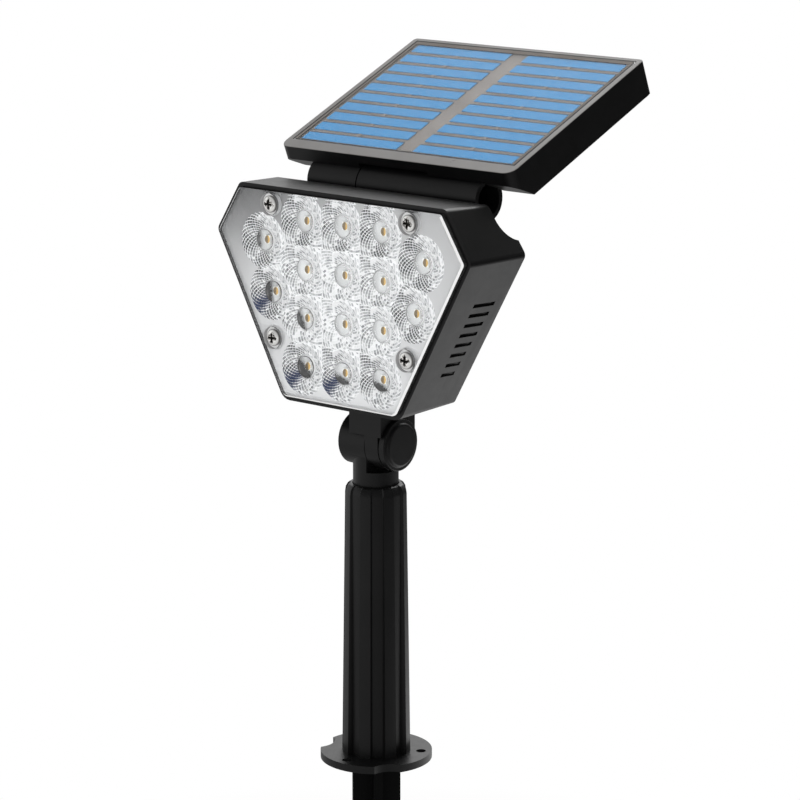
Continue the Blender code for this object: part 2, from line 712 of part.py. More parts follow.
def make_housing():
    levels = [HEAD_FRONT + HEAD_DEPTH * i / DEPTH_STEPS for i in range(DEPTH_STEPS + 1)]
    skin = [(level, head_outline(level)) for level in levels]
    housing = loft("head_housing", skin, "Y", PIVOT, BLACK_PLASTIC)
    near, far = HEAD_FRONT - CUT, INNER_BACK
    hollow = [(near, head_outline(near, WALL + RIM)), (far, head_outline(far, WALL))]
    cavity = loft("head_cavity", hollow, "Y", PIVOT)
    across = 2 * HEAD_MID_HALF
    keep = prism("scoop_wall", scoop_outline(SCOOP_WALL), "X", -across, across, PIVOT)
    scoop = prism("scoop", scoop_outline(), "X", -across, across, PIVOT)
    recess = prism("lens_recess", head_outline(HEAD_FRONT, RIM), "Y", near, LEDGE, PIVOT)
    cut(housing, cut(cavity, keep), recess)
    join(housing, *boss_parts(), *standoff_parts())
    cut(housing, scoop)
    join(housing, *lug_parts())
    for i, (x, z) in enumerate(screw_places()):
        pilot = rod(f"cover_pilot_{i + 1}", SCREW_RADIUS + GAP, LEDGE - CUT, SCREW_TIP + CUT, "Y",
                    (x, 0.0, z), PIVOT, sides=12)
        cut(housing, pilot)
    for i, (x, z) in enumerate(standoff_places()):
        low = INNER_BACK - CONTROL_STANDOFF
        pilot = rod(f"board_pilot_{i + 1}", BOARD_SCREW_RADIUS + GAP, low - CUT, low + BOARD_SCREW_LENGTH,
                    "Y", (x, 0.0, z), PIVOT, sides=12)
        cut(housing, pilot)
    cut(housing, *vent_cutters())
    button = rod("button_hole", BUTTON_RADIUS + GAP, INNER_BACK - CUT, HEAD_BACK + CUT, "Y",
                 (0.0, 0.0, CONTROL_CENTRE), PIVOT, sides=24)
    return cut(housing, button, *pivot_bores())


# Cover, gasket, screws and light engine

def make_cover():
    outline = lens_outline()
    cover = loft("lens_cover", [(LENS_FRONT, lens_outline(LENS_BEVEL)), (LENS_FRONT + LENS_BEVEL, outline),
                                (LENS_BACK, outline)], "Y", PIVOT, CLEAR_PLASTIC)
    for i, (x, z) in enumerate(led_places()):
        profile = [(CUP_BACK, CUP_BACK_RADIUS), (LENS_BACK - CUT / 2, CUP_FRONT_RADIUS)]
        cup = turned(f"cup_{i + 1:02d}", profile, "Y", (x, 0.0, z), PIVOT, sides=16)
        well = rod(f"cup_well_{i + 1:02d}", CUP_WELL_RADIUS, CUP_BACK - CUP_WELL_DEPTH, CUP_BACK + CUT,
                   "Y", (x, 0.0, z), PIVOT, sides=12)
        cut(join(cover, cup), well)
    for i, (x, z) in enumerate(screw_places()):
        near = LENS_FRONT - CUT
        seat = rod(f"cover_seat_{i + 1}", COUNTERBORE_RADIUS, near, LENS_FRONT + COUNTERBORE_DEPTH, "Y",
                   (x, 0.0, z), PIVOT, sides=20)
        hole = rod(f"cover_hole_{i + 1}", SCREW_RADIUS + GAP, near, LENS_BACK + CUT, "Y", (x, 0.0, z), PIVOT,
                   sides=12)
        cut(cover, seat, hole)
    return cover


def make_gasket():
    low, high = LENS_BACK + GAP, BOARD_FRONT - GAP
    gasket = prism("lens_gasket", lens_outline(), "Y", low, high, PIVOT, WHITE_RUBBER)
    middle = prism("gasket_middle", lens_outline(GASKET_WIDTH), "Y", low - CUT, high + CUT, PIVOT)
    return cut(gasket, middle)


def make_cover_screws():
    for i, (x, z) in enumerate(screw_places()):
        head = SCREW_SEAT - SCREW_HEAD_HEIGHT
        profile = [(SCREW_TIP, SCREW_RADIUS), (SCREW_SEAT, SCREW_RADIUS), (SCREW_SEAT, SCREW_HEAD_RADIUS),
                   (SCREW_SEAT - SCREW_HEAD_HEIGHT * 0.5, SCREW_HEAD_RADIUS),
                   (head, SCREW_HEAD_RADIUS * 0.6)]
        screw = turned(f"lens_screw_{i + 1}", profile, "Y", (x, 0.0, z), PIVOT, STEEL, sides=20)
        half, slot = SCREW_HEAD_RADIUS * 0.55, SCREW_HEAD_RADIUS * 0.13
        for name, wide, tall in (("across", half, slot), ("up", slot, half)):
            blade = block(f"lens_screw_{i + 1}_{name}", (-wide, head - CUT, -tall),
                          (wide, head + SCREW_HEAD_HEIGHT * 0.6, tall), PIVOT)
            blade.location = (x, 0.0, z)
            cut(screw, blade)


def make_led_board():
    board = prism("led_board", lens_outline(), "Y", BOARD_FRONT, BOARD_BACK, PIVOT, WHITE_BOARD)
    for i, (x, z) in enumerate(screw_places()):
        hole = rod(f"led_board_hole_{i + 1}", SCREW_RADIUS + GAP, BOARD_FRONT - CUT, BOARD_BACK + CUT, "Y",
                   (x, 0.0, z), PIVOT, sides=16)
        cut(board, hole)
    for i, (x, z) in enumerate(led_places()):
        block(f"led_{i + 1:02d}", (x - LED_WIDTH / 2, BOARD_FRONT - LED_THICK - GAP, z - LED_HEIGHT / 2),
              (x + LED_WIDTH / 2, BOARD_FRONT - GAP, z + LED_HEIGHT / 2), PIVOT, LED_PHOSPHOR)


# Battery, control board and button

def make_battery():
    centre = (0.0, (BOARD_BACK + INNER_BACK) / 2, CELL_HEIGHT)
    half = CELL_LENGTH / 2
    nub = CELL_RADIUS * 0.35
    profile = [(half, nub), (half - nub / 2, nub), (half - nub / 2, CELL_RADIUS), (-half, CELL_RADIUS)]
    turned("battery_cell", profile, "X", centre, PIVOT, CELL_SLEEVE, sides=32)
    room = CELL_RADIUS + GAP
    end = CRADLE_LENGTH / 2
    cradle = block("battery_cradle", (-end, centre[1], CELL_HEIGHT - CRADLE_HALF),
                   (end, INNER_BACK - GAP, CELL_HEIGHT + CRADLE_HALF), PIVOT, BLACK_PLASTIC)
    hollow = rod("cradle_hollow", room, -CRADLE_LENGTH, CRADLE_LENGTH, "X", centre, PIVOT, sides=40)
    return cut(cradle, hollow)


def make_control():
    back = INNER_BACK - CONTROL_STANDOFF - GAP
    low = CONTROL_CENTRE - CONTROL_HEIGHT / 2
    board = block("control_board", (-CONTROL_WIDTH / 2, back - BOARD_THICK, low),
                  (CONTROL_WIDTH / 2, back, low + CONTROL_HEIGHT), PIVOT, GREEN_BOARD)
    for i, (x, z) in enumerate(standoff_places()):
        hole = rod(f"control_hole_{i + 1}", BOARD_SCREW_RADIUS + GAP, back - BOARD_THICK - CUT, back + CUT,
                   "Y", (x, 0.0, z), PIVOT, sides=12)
        cut(board, hole)
        seat = back - BOARD_THICK - GAP
        profile = [(seat + BOARD_SCREW_LENGTH, BOARD_SCREW_RADIUS), (seat, BOARD_SCREW_RADIUS),
                   (seat, BOARD_SCREW_HEAD), (seat - BOARD_SCREW_HEAD_HEIGHT, BOARD_SCREW_HEAD)]
        turned(f"board_screw_{i + 1}", profile, "Y", (x, 0.0, z), PIVOT, STEEL, sides=16)
    half = SWITCH_SIDE / 2
    block("tact_switch", (-half, back + GAP, CONTROL_CENTRE - half),
          (half, back + GAP + SWITCH_THICK, CONTROL_CENTRE + half), PIVOT, SWITCH_BLACK)
    inner = back + SWITCH_THICK + 2 * GAP + BUTTON_TRAVEL
    stop = INNER_BACK - GAP
    flange, stem = stop - BUTTON_FLANGE_THICK, BUTTON_RADIUS / 2
    profile = [(HEAD_BACK + BUTTON_PROUD, BUTTON_RADIUS * 0.85),
               (HEAD_BACK + BUTTON_PROUD / 2, BUTTON_RADIUS), (stop, BUTTON_RADIUS), (stop, BUTTON_FLANGE),
               (flange, BUTTON_FLANGE), (flange, stem), (inner, stem)]
    turned("mode_button", profile, "Y", (0.0, 0.0, CONTROL_CENTRE), PIVOT, RUBBER, sides=24)


# Panel and its hinge hardware

def make_tray():
    half = PANEL_WIDTH / 2
    plan = rectangle(-half, half, PANEL_FRONT, PANEL_BACK)
    radii = [PANEL_FRONT_CORNER] * 2 + [PANEL_BACK_CORNER] * 2
    lip_edge = PANEL_UNDER_EDGE * 0.4
    foot = rounded(inset(plan, PANEL_UNDER_EDGE), [radius - PANEL_UNDER_EDGE for radius in radii])
    lip = rounded(inset(plan, lip_edge), [radius - lip_edge for radius in radii])
    side = rounded(plan, radii)
    tray = loft("panel_tray", [(PANEL_FLOOR, foot), (PANEL_FLOOR + PANEL_UNDER_EDGE, side),
                               (PANEL_ABOVE - lip_edge, side), (PANEL_ABOVE, lip)],
                "Z", HINGE, BLACK_PLASTIC)
    slope = PANEL_THICK - PANEL_FRONT_WALL
    ahead = slope / PANEL_BEVEL * CUT
    under = PANEL_FLOOR - CUT
    slice_off = [(PANEL_FRONT - CUT, PANEL_ABOVE - PANEL_FRONT_WALL + ahead),
                 (PANEL_FRONT + PANEL_BEVEL + CUT, PANEL_FLOOR - ahead),
                 (PANEL_FRONT + PANEL_BEVEL, under - ahead), (PANEL_FRONT - CUT, under - ahead)]
    wedge = prism("tray_bevel", slice_off, "X", -half - CUT, half + CUT, HINGE)
    bed = PANEL_ABOVE - LAMINATE_DEPTH
    wide, far = half - MARGIN_SIDE, PANEL_BACK - MARGIN_BACK
    seat = prism("laminate_seat", rectangle(-wide, wide, PANEL_FRONT + MARGIN_FRONT, far), "Z", bed,
                 PANEL_ABOVE + CUT, HINGE)
    wide -= TRAY_LEDGE
    far -= TRAY_LEDGE
    pocket = prism("tray_pocket", rectangle(-wide, wide, PANEL_FRONT + TRAY_BLOCK, far), "Z",
                   PANEL_FLOOR + TRAY_FLOOR, bed + CUT, HINGE)
    centre = (0.0, 0.0, 0.0)
    saddle = rod("barrel_saddle", BARREL_RADIUS + 2 * GAP, BARREL_JOINT - GAP, BARREL_HALF + 2 * GAP, "X",
                 centre, HINGE, sides=48)
    relief = rod("barrel_relief", BARREL_RADIUS + RELIEF_DEPTH, BARREL_JOINT - 2 * GAP, SADDLE_START, "X",
                 centre, HINGE, sides=48)
    knuckle = rod("panel_knuckle", BARREL_RADIUS, -BARREL_HALF, BARREL_JOINT, "X", centre, HINGE,
                  sides=40)
    wall = BARREL_JOINT - BARREL_WEB
    bore = rod("knuckle_bore", BARREL_BORE, -BARREL_HALF - CUT, wall, "X", centre, HINGE)
    hole = rod("knuckle_bolt_hole", BOLT_RADIUS + GAP, wall - CUT, BARREL_JOINT + CUT, "X", centre,
               HINGE)
    cut(tray, wedge, seat, pocket, saddle, relief)
    return cut(join(tray, knuckle), bore, hole)


def make_hinge_hardware():
    make_washer("hinge_washer", hinge_washer_radius(), BARREL_JOINT + GAP, HINGE, RUBBER)
    wall = BARREL_JOINT - BARREL_WEB
    make_bolt("hinge_bolt", BARREL_SEAM + BARREL_WEB + GAP, wall - NUT_HEIGHT - 2 * GAP, HINGE)
    make_nut("hinge_nut", wall - NUT_HEIGHT - GAP, HINGE)


def make_string(name, centre, low):
    """Cell strips in a row, tied into one piece by the ribbon that wires them."""
    span = (STRIP_COUNT - 1) * STRIP_PITCH + STRIP_WIDTH
    middle = (PANEL_FRONT + MARGIN_FRONT + PANEL_BACK - MARGIN_BACK) / 2
    first = middle - span / 2
    string = block(name, (centre - RIBBON_WIDTH / 2, first, low + STRING_THICK * 0.25),
                   (centre + RIBBON_WIDTH / 2, first + span, low + STRING_THICK * 0.75), HINGE, SILICON)
    for i in range(STRIP_COUNT):
        start = first + i * STRIP_PITCH
        strip = block(f"{name}_strip_{i + 1:02d}", (centre - STRIP_LENGTH / 2, start, low),
                      (centre + STRIP_LENGTH / 2, start + STRIP_WIDTH, low + STRING_THICK), HINGE)
        join(string, strip)
    return string


def make_laminate():
    half = PANEL_WIDTH / 2 - MARGIN_SIDE - GAP
    near, far = PANEL_FRONT + MARGIN_FRONT + GAP, PANEL_BACK - MARGIN_BACK - GAP
    low = PANEL_ABOVE - LAMINATE_DEPTH + GAP
    block("solar_backing", (-half, near, low), (half, far, low + BACKING_THICK), HINGE, BACKING)
    low += BACKING_THICK + GAP
    for name, side in (("cell_string_left", -1), ("cell_string_right", 1)):
        make_string(name, side * STRING_SPACING / 2, low)
    low += STRING_THICK + GAP
    block("solar_front_sheet", (-half, near, low), (half, far, low + SHEET_THICK), HINGE, CLEAR_PLASTIC)


make_post()
make_spike()
make_neck()
make_pivot()
make_housing()
make_arm()
make_cover()
make_gasket()
make_cover_screws()
make_led_board()
make_battery()
make_control()
make_tray()
make_hinge_hardware()
make_laminate()
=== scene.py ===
import math

import bmesh
import bpy
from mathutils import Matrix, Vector


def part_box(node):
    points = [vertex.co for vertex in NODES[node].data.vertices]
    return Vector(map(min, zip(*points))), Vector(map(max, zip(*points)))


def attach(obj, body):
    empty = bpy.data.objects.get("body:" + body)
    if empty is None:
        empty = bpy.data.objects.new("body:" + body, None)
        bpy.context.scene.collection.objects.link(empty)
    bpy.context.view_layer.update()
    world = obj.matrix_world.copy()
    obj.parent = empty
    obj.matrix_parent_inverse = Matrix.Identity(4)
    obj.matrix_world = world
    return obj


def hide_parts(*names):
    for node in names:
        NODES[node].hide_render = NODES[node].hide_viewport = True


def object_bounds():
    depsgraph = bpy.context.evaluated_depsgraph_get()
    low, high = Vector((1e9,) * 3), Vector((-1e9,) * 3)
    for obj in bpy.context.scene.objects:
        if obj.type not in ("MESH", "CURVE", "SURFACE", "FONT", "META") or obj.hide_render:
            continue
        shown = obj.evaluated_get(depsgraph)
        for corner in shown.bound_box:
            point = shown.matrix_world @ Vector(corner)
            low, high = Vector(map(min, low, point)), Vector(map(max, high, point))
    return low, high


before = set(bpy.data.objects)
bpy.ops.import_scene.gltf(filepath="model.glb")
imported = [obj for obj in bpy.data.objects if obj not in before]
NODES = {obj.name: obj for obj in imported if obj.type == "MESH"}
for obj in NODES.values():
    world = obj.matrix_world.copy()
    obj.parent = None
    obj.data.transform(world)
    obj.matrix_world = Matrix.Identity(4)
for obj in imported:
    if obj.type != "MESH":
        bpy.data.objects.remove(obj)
CAD_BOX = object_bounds()

# Looks of the solar garden light. Metres, +Z up, the lamp shines towards -Y.

# Camera
CAMERA_AT = (0.87943, -1.05062, 0.47983)
CAMERA_AIM = (0.04067, -0.03263, 0.17561)
CAMERA_LENS = 144.58
CAMERA_SENSOR = 36.0

# Lamps: place, width and power
KEY_LAMP = ((0.5, -1.6, 0.25), 1.2, 12.0)
TOP_LAMP = ((-1.2, 0.75, 1.5), 1.2, 3.0)
STREAK_LAMP = ((-0.1, 1.1, 1.2), 0.3, 1.6)

# Studio
WHITE = (1.0, 1.0, 1.0, 1.0)
AMBIENT = 0.85
FLOOR_GREY = (0.90, 0.90, 0.90, 1.0)
FLOOR_RADIUS = 8.0
FLOOR_SIDES = 96
FLOOR_DROP = 0.0005
POST_CENTRE = (0.0, 0.0, 0.0)
SHADOW_RADIUS = 0.20    # the floor shows shadows this far from the post
WHITE_RADIUS = 0.38     # and is plain white from here on

# The studio as reflections see it
SHEEN_SIDE = (-0.60, 0.0, -0.50)    # it is brighter on this side
SHEEN_RANGE = (-0.10, 0.30)
SHEEN_LEVELS = (0.20, 0.92)
BOX_SIDE = (-0.25, 0.72, 0.65)      # and has a soft box here
BOX_RANGE = (0.87, 0.94)
BOX_LEVELS = (0.0, 2.80)
POOL_CENTRE = (0.20, 0.40, 0.0)     # its floor has a pool of light here
POOL_RANGE = (0.15, 0.50)
POOL_LEVELS = (1.30, 0.0)
FLOOR_SIDE = (-0.707, -0.707, 0.0)  # and is brighter towards this side
FLOOR_RANGE = (-1.5, 1.5)
FLOOR_LEVELS = (0.0, 0.80)

# Moulded and plated finishes. Noise scales are in waves per metre.
DRIFT_SCALE = 60.0      # slow change of colour
DRIFT_STOPS = (0.3, 0.7)
GLOSS_SCALE = 240.0     # uneven roughness
GLOSS_SWING = 0.06
GRAIN_DETAIL = 2.0
GRAIN_HEIGHT = 0.0001

# Edges of moulded plastic
SOFT_EDGE = 0.00035
EDGE_SEGMENTS = 2
SHARP_ANGLE = 35.0
FLAT_ANGLE = 0.5        # faces that bend less than this are joined first
MERGE_DISTANCE = 0.000001

# Lens cover
LED_COUNT = 16
COVER_PLATE = 0.0045
COVER_BEVEL = 0.0008
SAME_DEPTH = 0.00002
OUTLINE_DIGITS = 6
CUP_RADIUS = 0.0102
CUP_FOOT = 0.0054
CUP_CURVE = 0.85
CUP_FACETS = 32         # facets in each ring of an optic
FACET_POINTS = 2        # and the ring's points to each of them
FACE_CORNERS = ((0, 0), (1, 0), (1, 1), (0, 1))  # a face's corners, in points round and rings down
CUP_ROWS = 6
CUP_REACH = 0.0124      # the facets run on this far, or up to the next optic
FILL_REACH = 0.0156     # and this far among the optics, where four of them meet
CUP_CLEAR = 0.00006
BORDER_CLEAR = 10 * CUP_CLEAR
LEAST_FACING = 0.05     # what faces a direction less than this doesn't limit the facets
FACET_RISE = 0.00012
WELL_RADIUS = 0.0050
WELL_TAPER = 0.97
WELL_DEPTH = 0.0014
WELL_CROWN = 0.0009
WELL_RINGS = 6
SEAT_RADIUS = 0.0049
SEAT_DEPTH = 0.0021
SEAT_HOLE = 0.00205
SEAT_BOSS = 0.0054
SEAT_SIDES = 32
FACET_SLOT = 1
TINT_SLOT = 2

# Greys of the lens cover
TUBE_TONE = 0.86
BOSS_TONE = 0.90
# Painted shade on the wall of the counterbore round each screw's head.
SEAT_SHADE = 0.30
EDGE_TONE = 0.02        # its edge shows the black housing
# The cover's flat back is painted with shade: darker at its top, darkest in its upper left corner.
PLATE_TOP = 0.50        # its flat back between the optics and the edge
PLATE_FOOT = 0.82
PLATE_CORNER_SHADE = 0.03     # and in the upper left corner
PLATE_SPAN = 0.55       # which reaches this share of the width
PLATE_DROP = 0.40       # and of the height
BEVEL_HIGHLIGHT = 0.76       # painted highlight on the bevel round its front, on this side
BEVEL_SIDE = Vector((0.89, -0.45))
BEVEL_FACING = 0.3
TINT_GREY = (0.60, 0.60, 0.60)  # tinted plastic drifts a little towards this
TINT_DRIFT = (0.3, 0.8)
TINT_DRIFT_LEVELS = (0.0, 0.06)

# Facets, in shares of one facet
FACET_STRAY = 0.15      # how far they stray round the optic
FACET_LINE = 0.13       # the pale line along their edges
FACET_FADE = (0.50, 1.00)
FACET_FADE_LEVELS = (1.0, 0.2)
PEARL_STOPS = (0.0, 0.7)
NAVY_LENGTH = 0.95

# Painted dark reflections in the optics. Directions are in degrees, anticlockwise from the right.
DARK_REACH = 0.045      # optics this far from the middle show the most
DARK_LEAST = 0.12       # and those in the middle this share of it
DARK_GAIN = 1.4
LEFT_SHADE = (190.0, 0.85)      # direction, and the share of facets shaded there
ABOVE_SHADE = (130.0, 0.75)
UNDER_SHADE = (268.0, 0.45)
UPPER_UNDER_SHADE = (268.0, 0.90)   # the same in optics above the middle
SHADE_SHARPNESS = 4.0
PLAIN_SHARE = 0.25      # share of facets shaded on every side
PLAIN_DARK = 0.12       # and how dark they are
NAVY_TURN = 222.0
NAVY_SHARPNESS = 6.0
NAVY_HIGH = 0.1         # navy shows in optics below this height
NAVY_AWAY = 0.6         # and further out than this
MOON_HIGH = -0.5        # a tube's painted dark reflection: what height takes from it at most
MOON_LEAST = 0.2        # tubes with less of it stay plain
MOON_LEFT = 185.0       # its direction in the leftmost optics
MOON_SWING = 65.0       # and how far that turns to the lowest ones
MOON_START = 0.95       # where it starts, as a share of the tube's radius
MOON_START_FALL = 1.35
MOON_START_LEAST = 0.12
MOON_GREY = 0.16
MOON_GREY_FALL = 0.4
MOON_GREY_LEAST = 0.010
NO_MOON = (0.0, 2.0, 0.0)       # it starts outside the tube

# LED packages, in shares of their size
WINDOW_WIDTH = 0.47
WINDOW_HEIGHT = 0.49
WINDOW_CHANGE = (0.10, 0.35)    # where brown turns to amber, in shares of the window

# Cover screws
SCREW_COUNT = 4
SCREW_EDGE = 0.00004
RECESS_RADIUS = 0.0022
RECESS_DEPTH = 0.0003
RECESS_SLOT = 1
STAR_ARMS = 0.12        # star of painted shade on the head, in shares of the head's width
STAR_RAGGED = (0.02, 0.42)
# where the star's painted shade turns to painted glints
STAR_STOPS = (0.45, 0.60)
HEAD_BRIGHT = 0.43      # the head is bright up to here
HEAD_RIM = 0.49         # and painted with shade from here

# Solar panel
PANEL_TILT = math.radians(22.24)
STRIP_PITCH = 0.00928
STRIP_WIDTH = 0.0069
STRIP_SHADOW_LINE = (0.87, 0.91)   # where a strip turns to painted shadow along its rear edge, in shares of its width
STRIP_STOPS = (0.40, 0.60)
RIBBON_GREY = (0.175, 0.158, 0.144)
RIM_DEPTH = 0.0005
RIM_FACING = 0.3
RIM_SLOT = 1
GAP_SHADE_LINE = 0.0006     # dark line round the clear sheet's edge, painted shade of the gap to the tray
PRINT_FRONT = 0.0009    # how far in its band runs at the front, the sides and the back
PRINT_SIDE = 0.0018
PRINT_BACK = 0.0030
GAP_SHADE_SLOT = 1
BAND_SLOT = 2


# Node tree helpers

def new_material(name, roughness, metallic=0.0, specular=0.5):
    made = bpy.data.materials.new(name)
    made.use_nodes = True
    shader = made.node_tree.nodes["Principled BSDF"]
    shader.inputs["Roughness"].default_value = roughness
    shader.inputs["Metallic"].default_value = metallic
    shader.inputs["Specular IOR Level"].default_value = specular
    return made, made.node_tree, shader


def add_node(tree, kind, **inputs):
    node = tree.nodes.new(kind)
    for name, value in inputs.items():
        node.inputs[name].default_value = value
    return node


def coordinates(tree, socket="Object"):
    return tree.nodes.new("ShaderNodeTexCoord").outputs[socket]


def noise(tree, scale, detail=3.0):
    node = add_node(tree, "ShaderNodeTexNoise", Scale=scale, Detail=detail)
    tree.links.new(coordinates(tree), node.inputs["Vector"])
    return node.outputs["Fac"]


def mesh_shade(tree):
    """The colour that the mesh itself carries."""
    node = tree.nodes.new("ShaderNodeVertexColor")
    node.layer_name = "shade"
    return node.outputs["Color"]


def split_vector(tree, vector):
    node = tree.nodes.new("ShaderNodeSeparateXYZ")
    tree.links.new(vector, node.inputs["Vector"])
    return node.outputs["X"], node.outputs["Y"], node.outputs["Z"]


def split_colour(tree, colour):
    node = tree.nodes.new("ShaderNodeSeparateColor")
    tree.links.new(colour, node.inputs["Color"])
    return node.outputs["Red"], node.outputs["Green"], node.outputs["Blue"]


def ramp(tree, factor, *stops):
    node = tree.nodes.new("ShaderNodeValToRGB")
    elements = node.color_ramp.elements
    for element, (place, colour) in zip(elements, stops, strict=True):
        element.position = place
        element.color = (*colour, 1.0)
    tree.links.new(factor, node.inputs["Fac"])
    return node.outputs["Color"]


def level(tree, value, span, levels=(0.0, 1.0)):
    """Map a value's span to two levels, and hold them beyond it."""
    node = tree.nodes.new("ShaderNodeMapRange")
    for name, number in zip(("From Min", "From Max", "To Min", "To Max"), (*span, *levels)):
        node.inputs[name].default_value = number
    tree.links.new(value, node.inputs["Value"])
    return node.outputs["Result"]


def spread(tree, factor, low, high):
    """Map zero and one to two levels."""
    return level(tree, factor, (0.0, 1.0), (low, high))


def math_node(tree, operation, first, second=None):
    node = tree.nodes.new("ShaderNodeMath")
    node.operation = operation
    for socket, value in zip(node.inputs, (first, second)):
        if isinstance(value, bpy.types.NodeSocket):
            tree.links.new(value, socket)
        elif value is not None:
            socket.default_value = value
    return node.outputs["Value"]


def vector_node(tree, operation, vector, other):
    """One number from a socket's vector and a plain one."""
    node = tree.nodes.new("ShaderNodeVectorMath")
    node.operation = operation
    node.inputs[1].default_value = other
    tree.links.new(vector, node.inputs[0])
    return node.outputs["Value"]


def towards(tree, vector, way):
    """How far a vector goes one way."""
    return vector_node(tree, "DOT_PRODUCT", vector, way)


def away_from(tree, vector, centre):
    return vector_node(tree, "DISTANCE", vector, centre)


def off_middle(tree, width=1.0, height=1.0):
    """Place across and up from the middle of a piece's front, in shares of a width and a height."""
    x, _, z = split_vector(tree, coordinates(tree, "Generated"))
    across = math_node(tree, "DIVIDE", math_node(tree, "SUBTRACT", x, 0.5), width)
    up = math_node(tree, "DIVIDE", math_node(tree, "SUBTRACT", z, 0.5), height)
    return across, up


def radius_of(tree, across, up):
    squares = [math_node(tree, "POWER", side, 2.0) for side in (across, up)]
    return math_node(tree, "SQRT", math_node(tree, "ADD", *squares))


def mixed(tree, factor, first, second):
    """Blend two colours, each a socket or a plain colour."""
    node = tree.nodes.new("ShaderNodeMix")
    node.data_type = "RGBA"
    tree.links.new(factor, node.inputs["Factor"])
    for name, colour in (("A", first), ("B", second)):
        if isinstance(colour, bpy.types.NodeSocket):
            tree.links.new(colour, node.inputs[name])
        else:
            node.inputs[name].default_value = (*colour, 1.0)
    return node.outputs["Result"]


def blend(tree, factor, first, second):
    """Blend two shaders."""
    node = tree.nodes.new("ShaderNodeMixShader")
    tree.links.new(factor, node.inputs["Fac"])
    tree.links.new(first, node.inputs[1])
    tree.links.new(second, node.inputs[2])
    return node.outputs["Shader"]


def paint(tree, shader, colour):
    tree.links.new(colour, shader.inputs["Base Color"])


def bump(tree, shader, height, strength, distance=GRAIN_HEIGHT):
    node = add_node(tree, "ShaderNodeBump", Strength=strength, Distance=distance)
    tree.links.new(height, node.inputs["Height"])
    tree.links.new(node.outputs["Normal"], shader.inputs["Normal"])


def grained(name, dark, light, roughness, grain, specular=0.5, metallic=0.0, strength=0.15):
    """A moulded or plated finish: slow colour drift, uneven sheen and a fine grain."""
    made, tree, shader = new_material(name, roughness, metallic, specular)
    paint(tree, shader, ramp(tree, noise(tree, DRIFT_SCALE), *zip(DRIFT_STOPS, (dark, light))))
    gloss = spread(tree, noise(tree, GLOSS_SCALE), roughness - GLOSS_SWING, roughness + GLOSS_SWING)
    tree.links.new(gloss, shader.inputs["Roughness"])
    bump(tree, shader, noise(tree, grain, GRAIN_DETAIL), strength)
    return made


# Materials

def black_plastic():
    return grained("black_plastic", dark=(0.0022, 0.0022, 0.0023), light=(0.0032, 0.0032, 0.0033),
                   roughness=0.38, grain=2600.0, specular=0.27)


# Darker than the post's black: a separate moulding, and painted shade under the flange.
def spike_plastic_and_shade():
    return grained("spike_plastic_and_shade", dark=(0.0010, 0.0010, 0.0010), light=(0.0016, 0.0016, 0.0016),
                   roughness=0.45, grain=2600.0, specular=0.08)


# Painted sheen: a lighter grey for the black tray's top rim, as it catches light from above.
def panel_rim_painted_sheen():
    return grained("panel_rim_painted_sheen", dark=(0.135, 0.130, 0.125), light=(0.170, 0.164, 0.158),
                   roughness=0.30, grain=2600.0, specular=0.4)


def steel():
    return grained("steel", dark=(0.66, 0.65, 0.63), light=(0.86, 0.85, 0.83),
                   roughness=0.42, grain=3000.0, metallic=1.0, strength=0.10)


# Steel painted darker, as shade in the cover screws' cross recesses.
def steel_painted_shade():
    return grained("steel_painted_shade", dark=(0.020, 0.019, 0.018), light=(0.060, 0.056, 0.050),
                   roughness=0.40, grain=3000.0, metallic=1.0)


def screw_steel():
    """Plated screw heads: bright, with painted shade in a ragged star round the recess, flecked with
    painted glints, and painted shade at the rim.
    """
    bright, rim = (0.96, 0.95, 0.93), (0.16, 0.155, 0.15)
    star_shade, glint = (0.03, 0.027, 0.024), (0.70, 0.68, 0.65)
    made, tree, shader = new_material("screw_steel", roughness=0.28, metallic=0.7)
    across, up = off_middle(tree)
    radius = radius_of(tree, across, up)
    double_turn = math_node(tree, "MULTIPLY", math_node(tree, "ARCTAN2", up, across), 2.0)
    arms = math_node(tree, "ABSOLUTE", math_node(tree, "COSINE", double_turn))
    ragged = spread(tree, noise(tree, scale=1400.0), *STAR_RAGGED)
    reach = math_node(tree, "ADD", math_node(tree, "MULTIPLY", arms, STAR_ARMS), ragged)
    star = math_node(tree, "LESS_THAN", radius, reach)
    # Painted shade at the rim, and painted shade with painted glints in the star.
    head = ramp(tree, radius, (HEAD_BRIGHT, bright), (HEAD_RIM, rim))
    dark = ramp(tree, noise(tree, scale=1100.0), *zip(STAR_STOPS, (star_shade, glint)))
    paint(tree, shader, mixed(tree, star, head, dark))
    bump(tree, shader, noise(tree, scale=3000.0, detail=GRAIN_DETAIL), strength=0.10)
    return made


def rubber():
    return grained("rubber", dark=(0.010, 0.010, 0.010), light=(0.016, 0.016, 0.016),
                   roughness=0.75, grain=1800.0, specular=0.2)


def white_rubber():
    return grained("white_rubber", dark=(0.42, 0.43, 0.45), light=(0.50, 0.51, 0.53),
                   roughness=0.60, grain=1800.0)


def backing():
    return grained("backing", dark=(0.150, 0.135, 0.122), light=(0.200, 0.182, 0.166),
                   roughness=0.55, grain=1200.0, specular=0.1)


def lacquered(name, dark, light):
    """The coat of a circuit board or of a cell's sleeve."""
    return grained(name, dark, light, roughness=0.40, grain=1500.0, strength=0.05)


def white_board():
    return lacquered("white_board", dark=(0.66, 0.66, 0.65), light=(0.78, 0.78, 0.77))


def green_board():
    return lacquered("green_board", dark=(0.015, 0.120, 0.045), light=(0.030, 0.180, 0.070))


def cell_sleeve():
    return lacquered("cell_sleeve", dark=(0.025, 0.10, 0.30), light=(0.035, 0.13, 0.38))


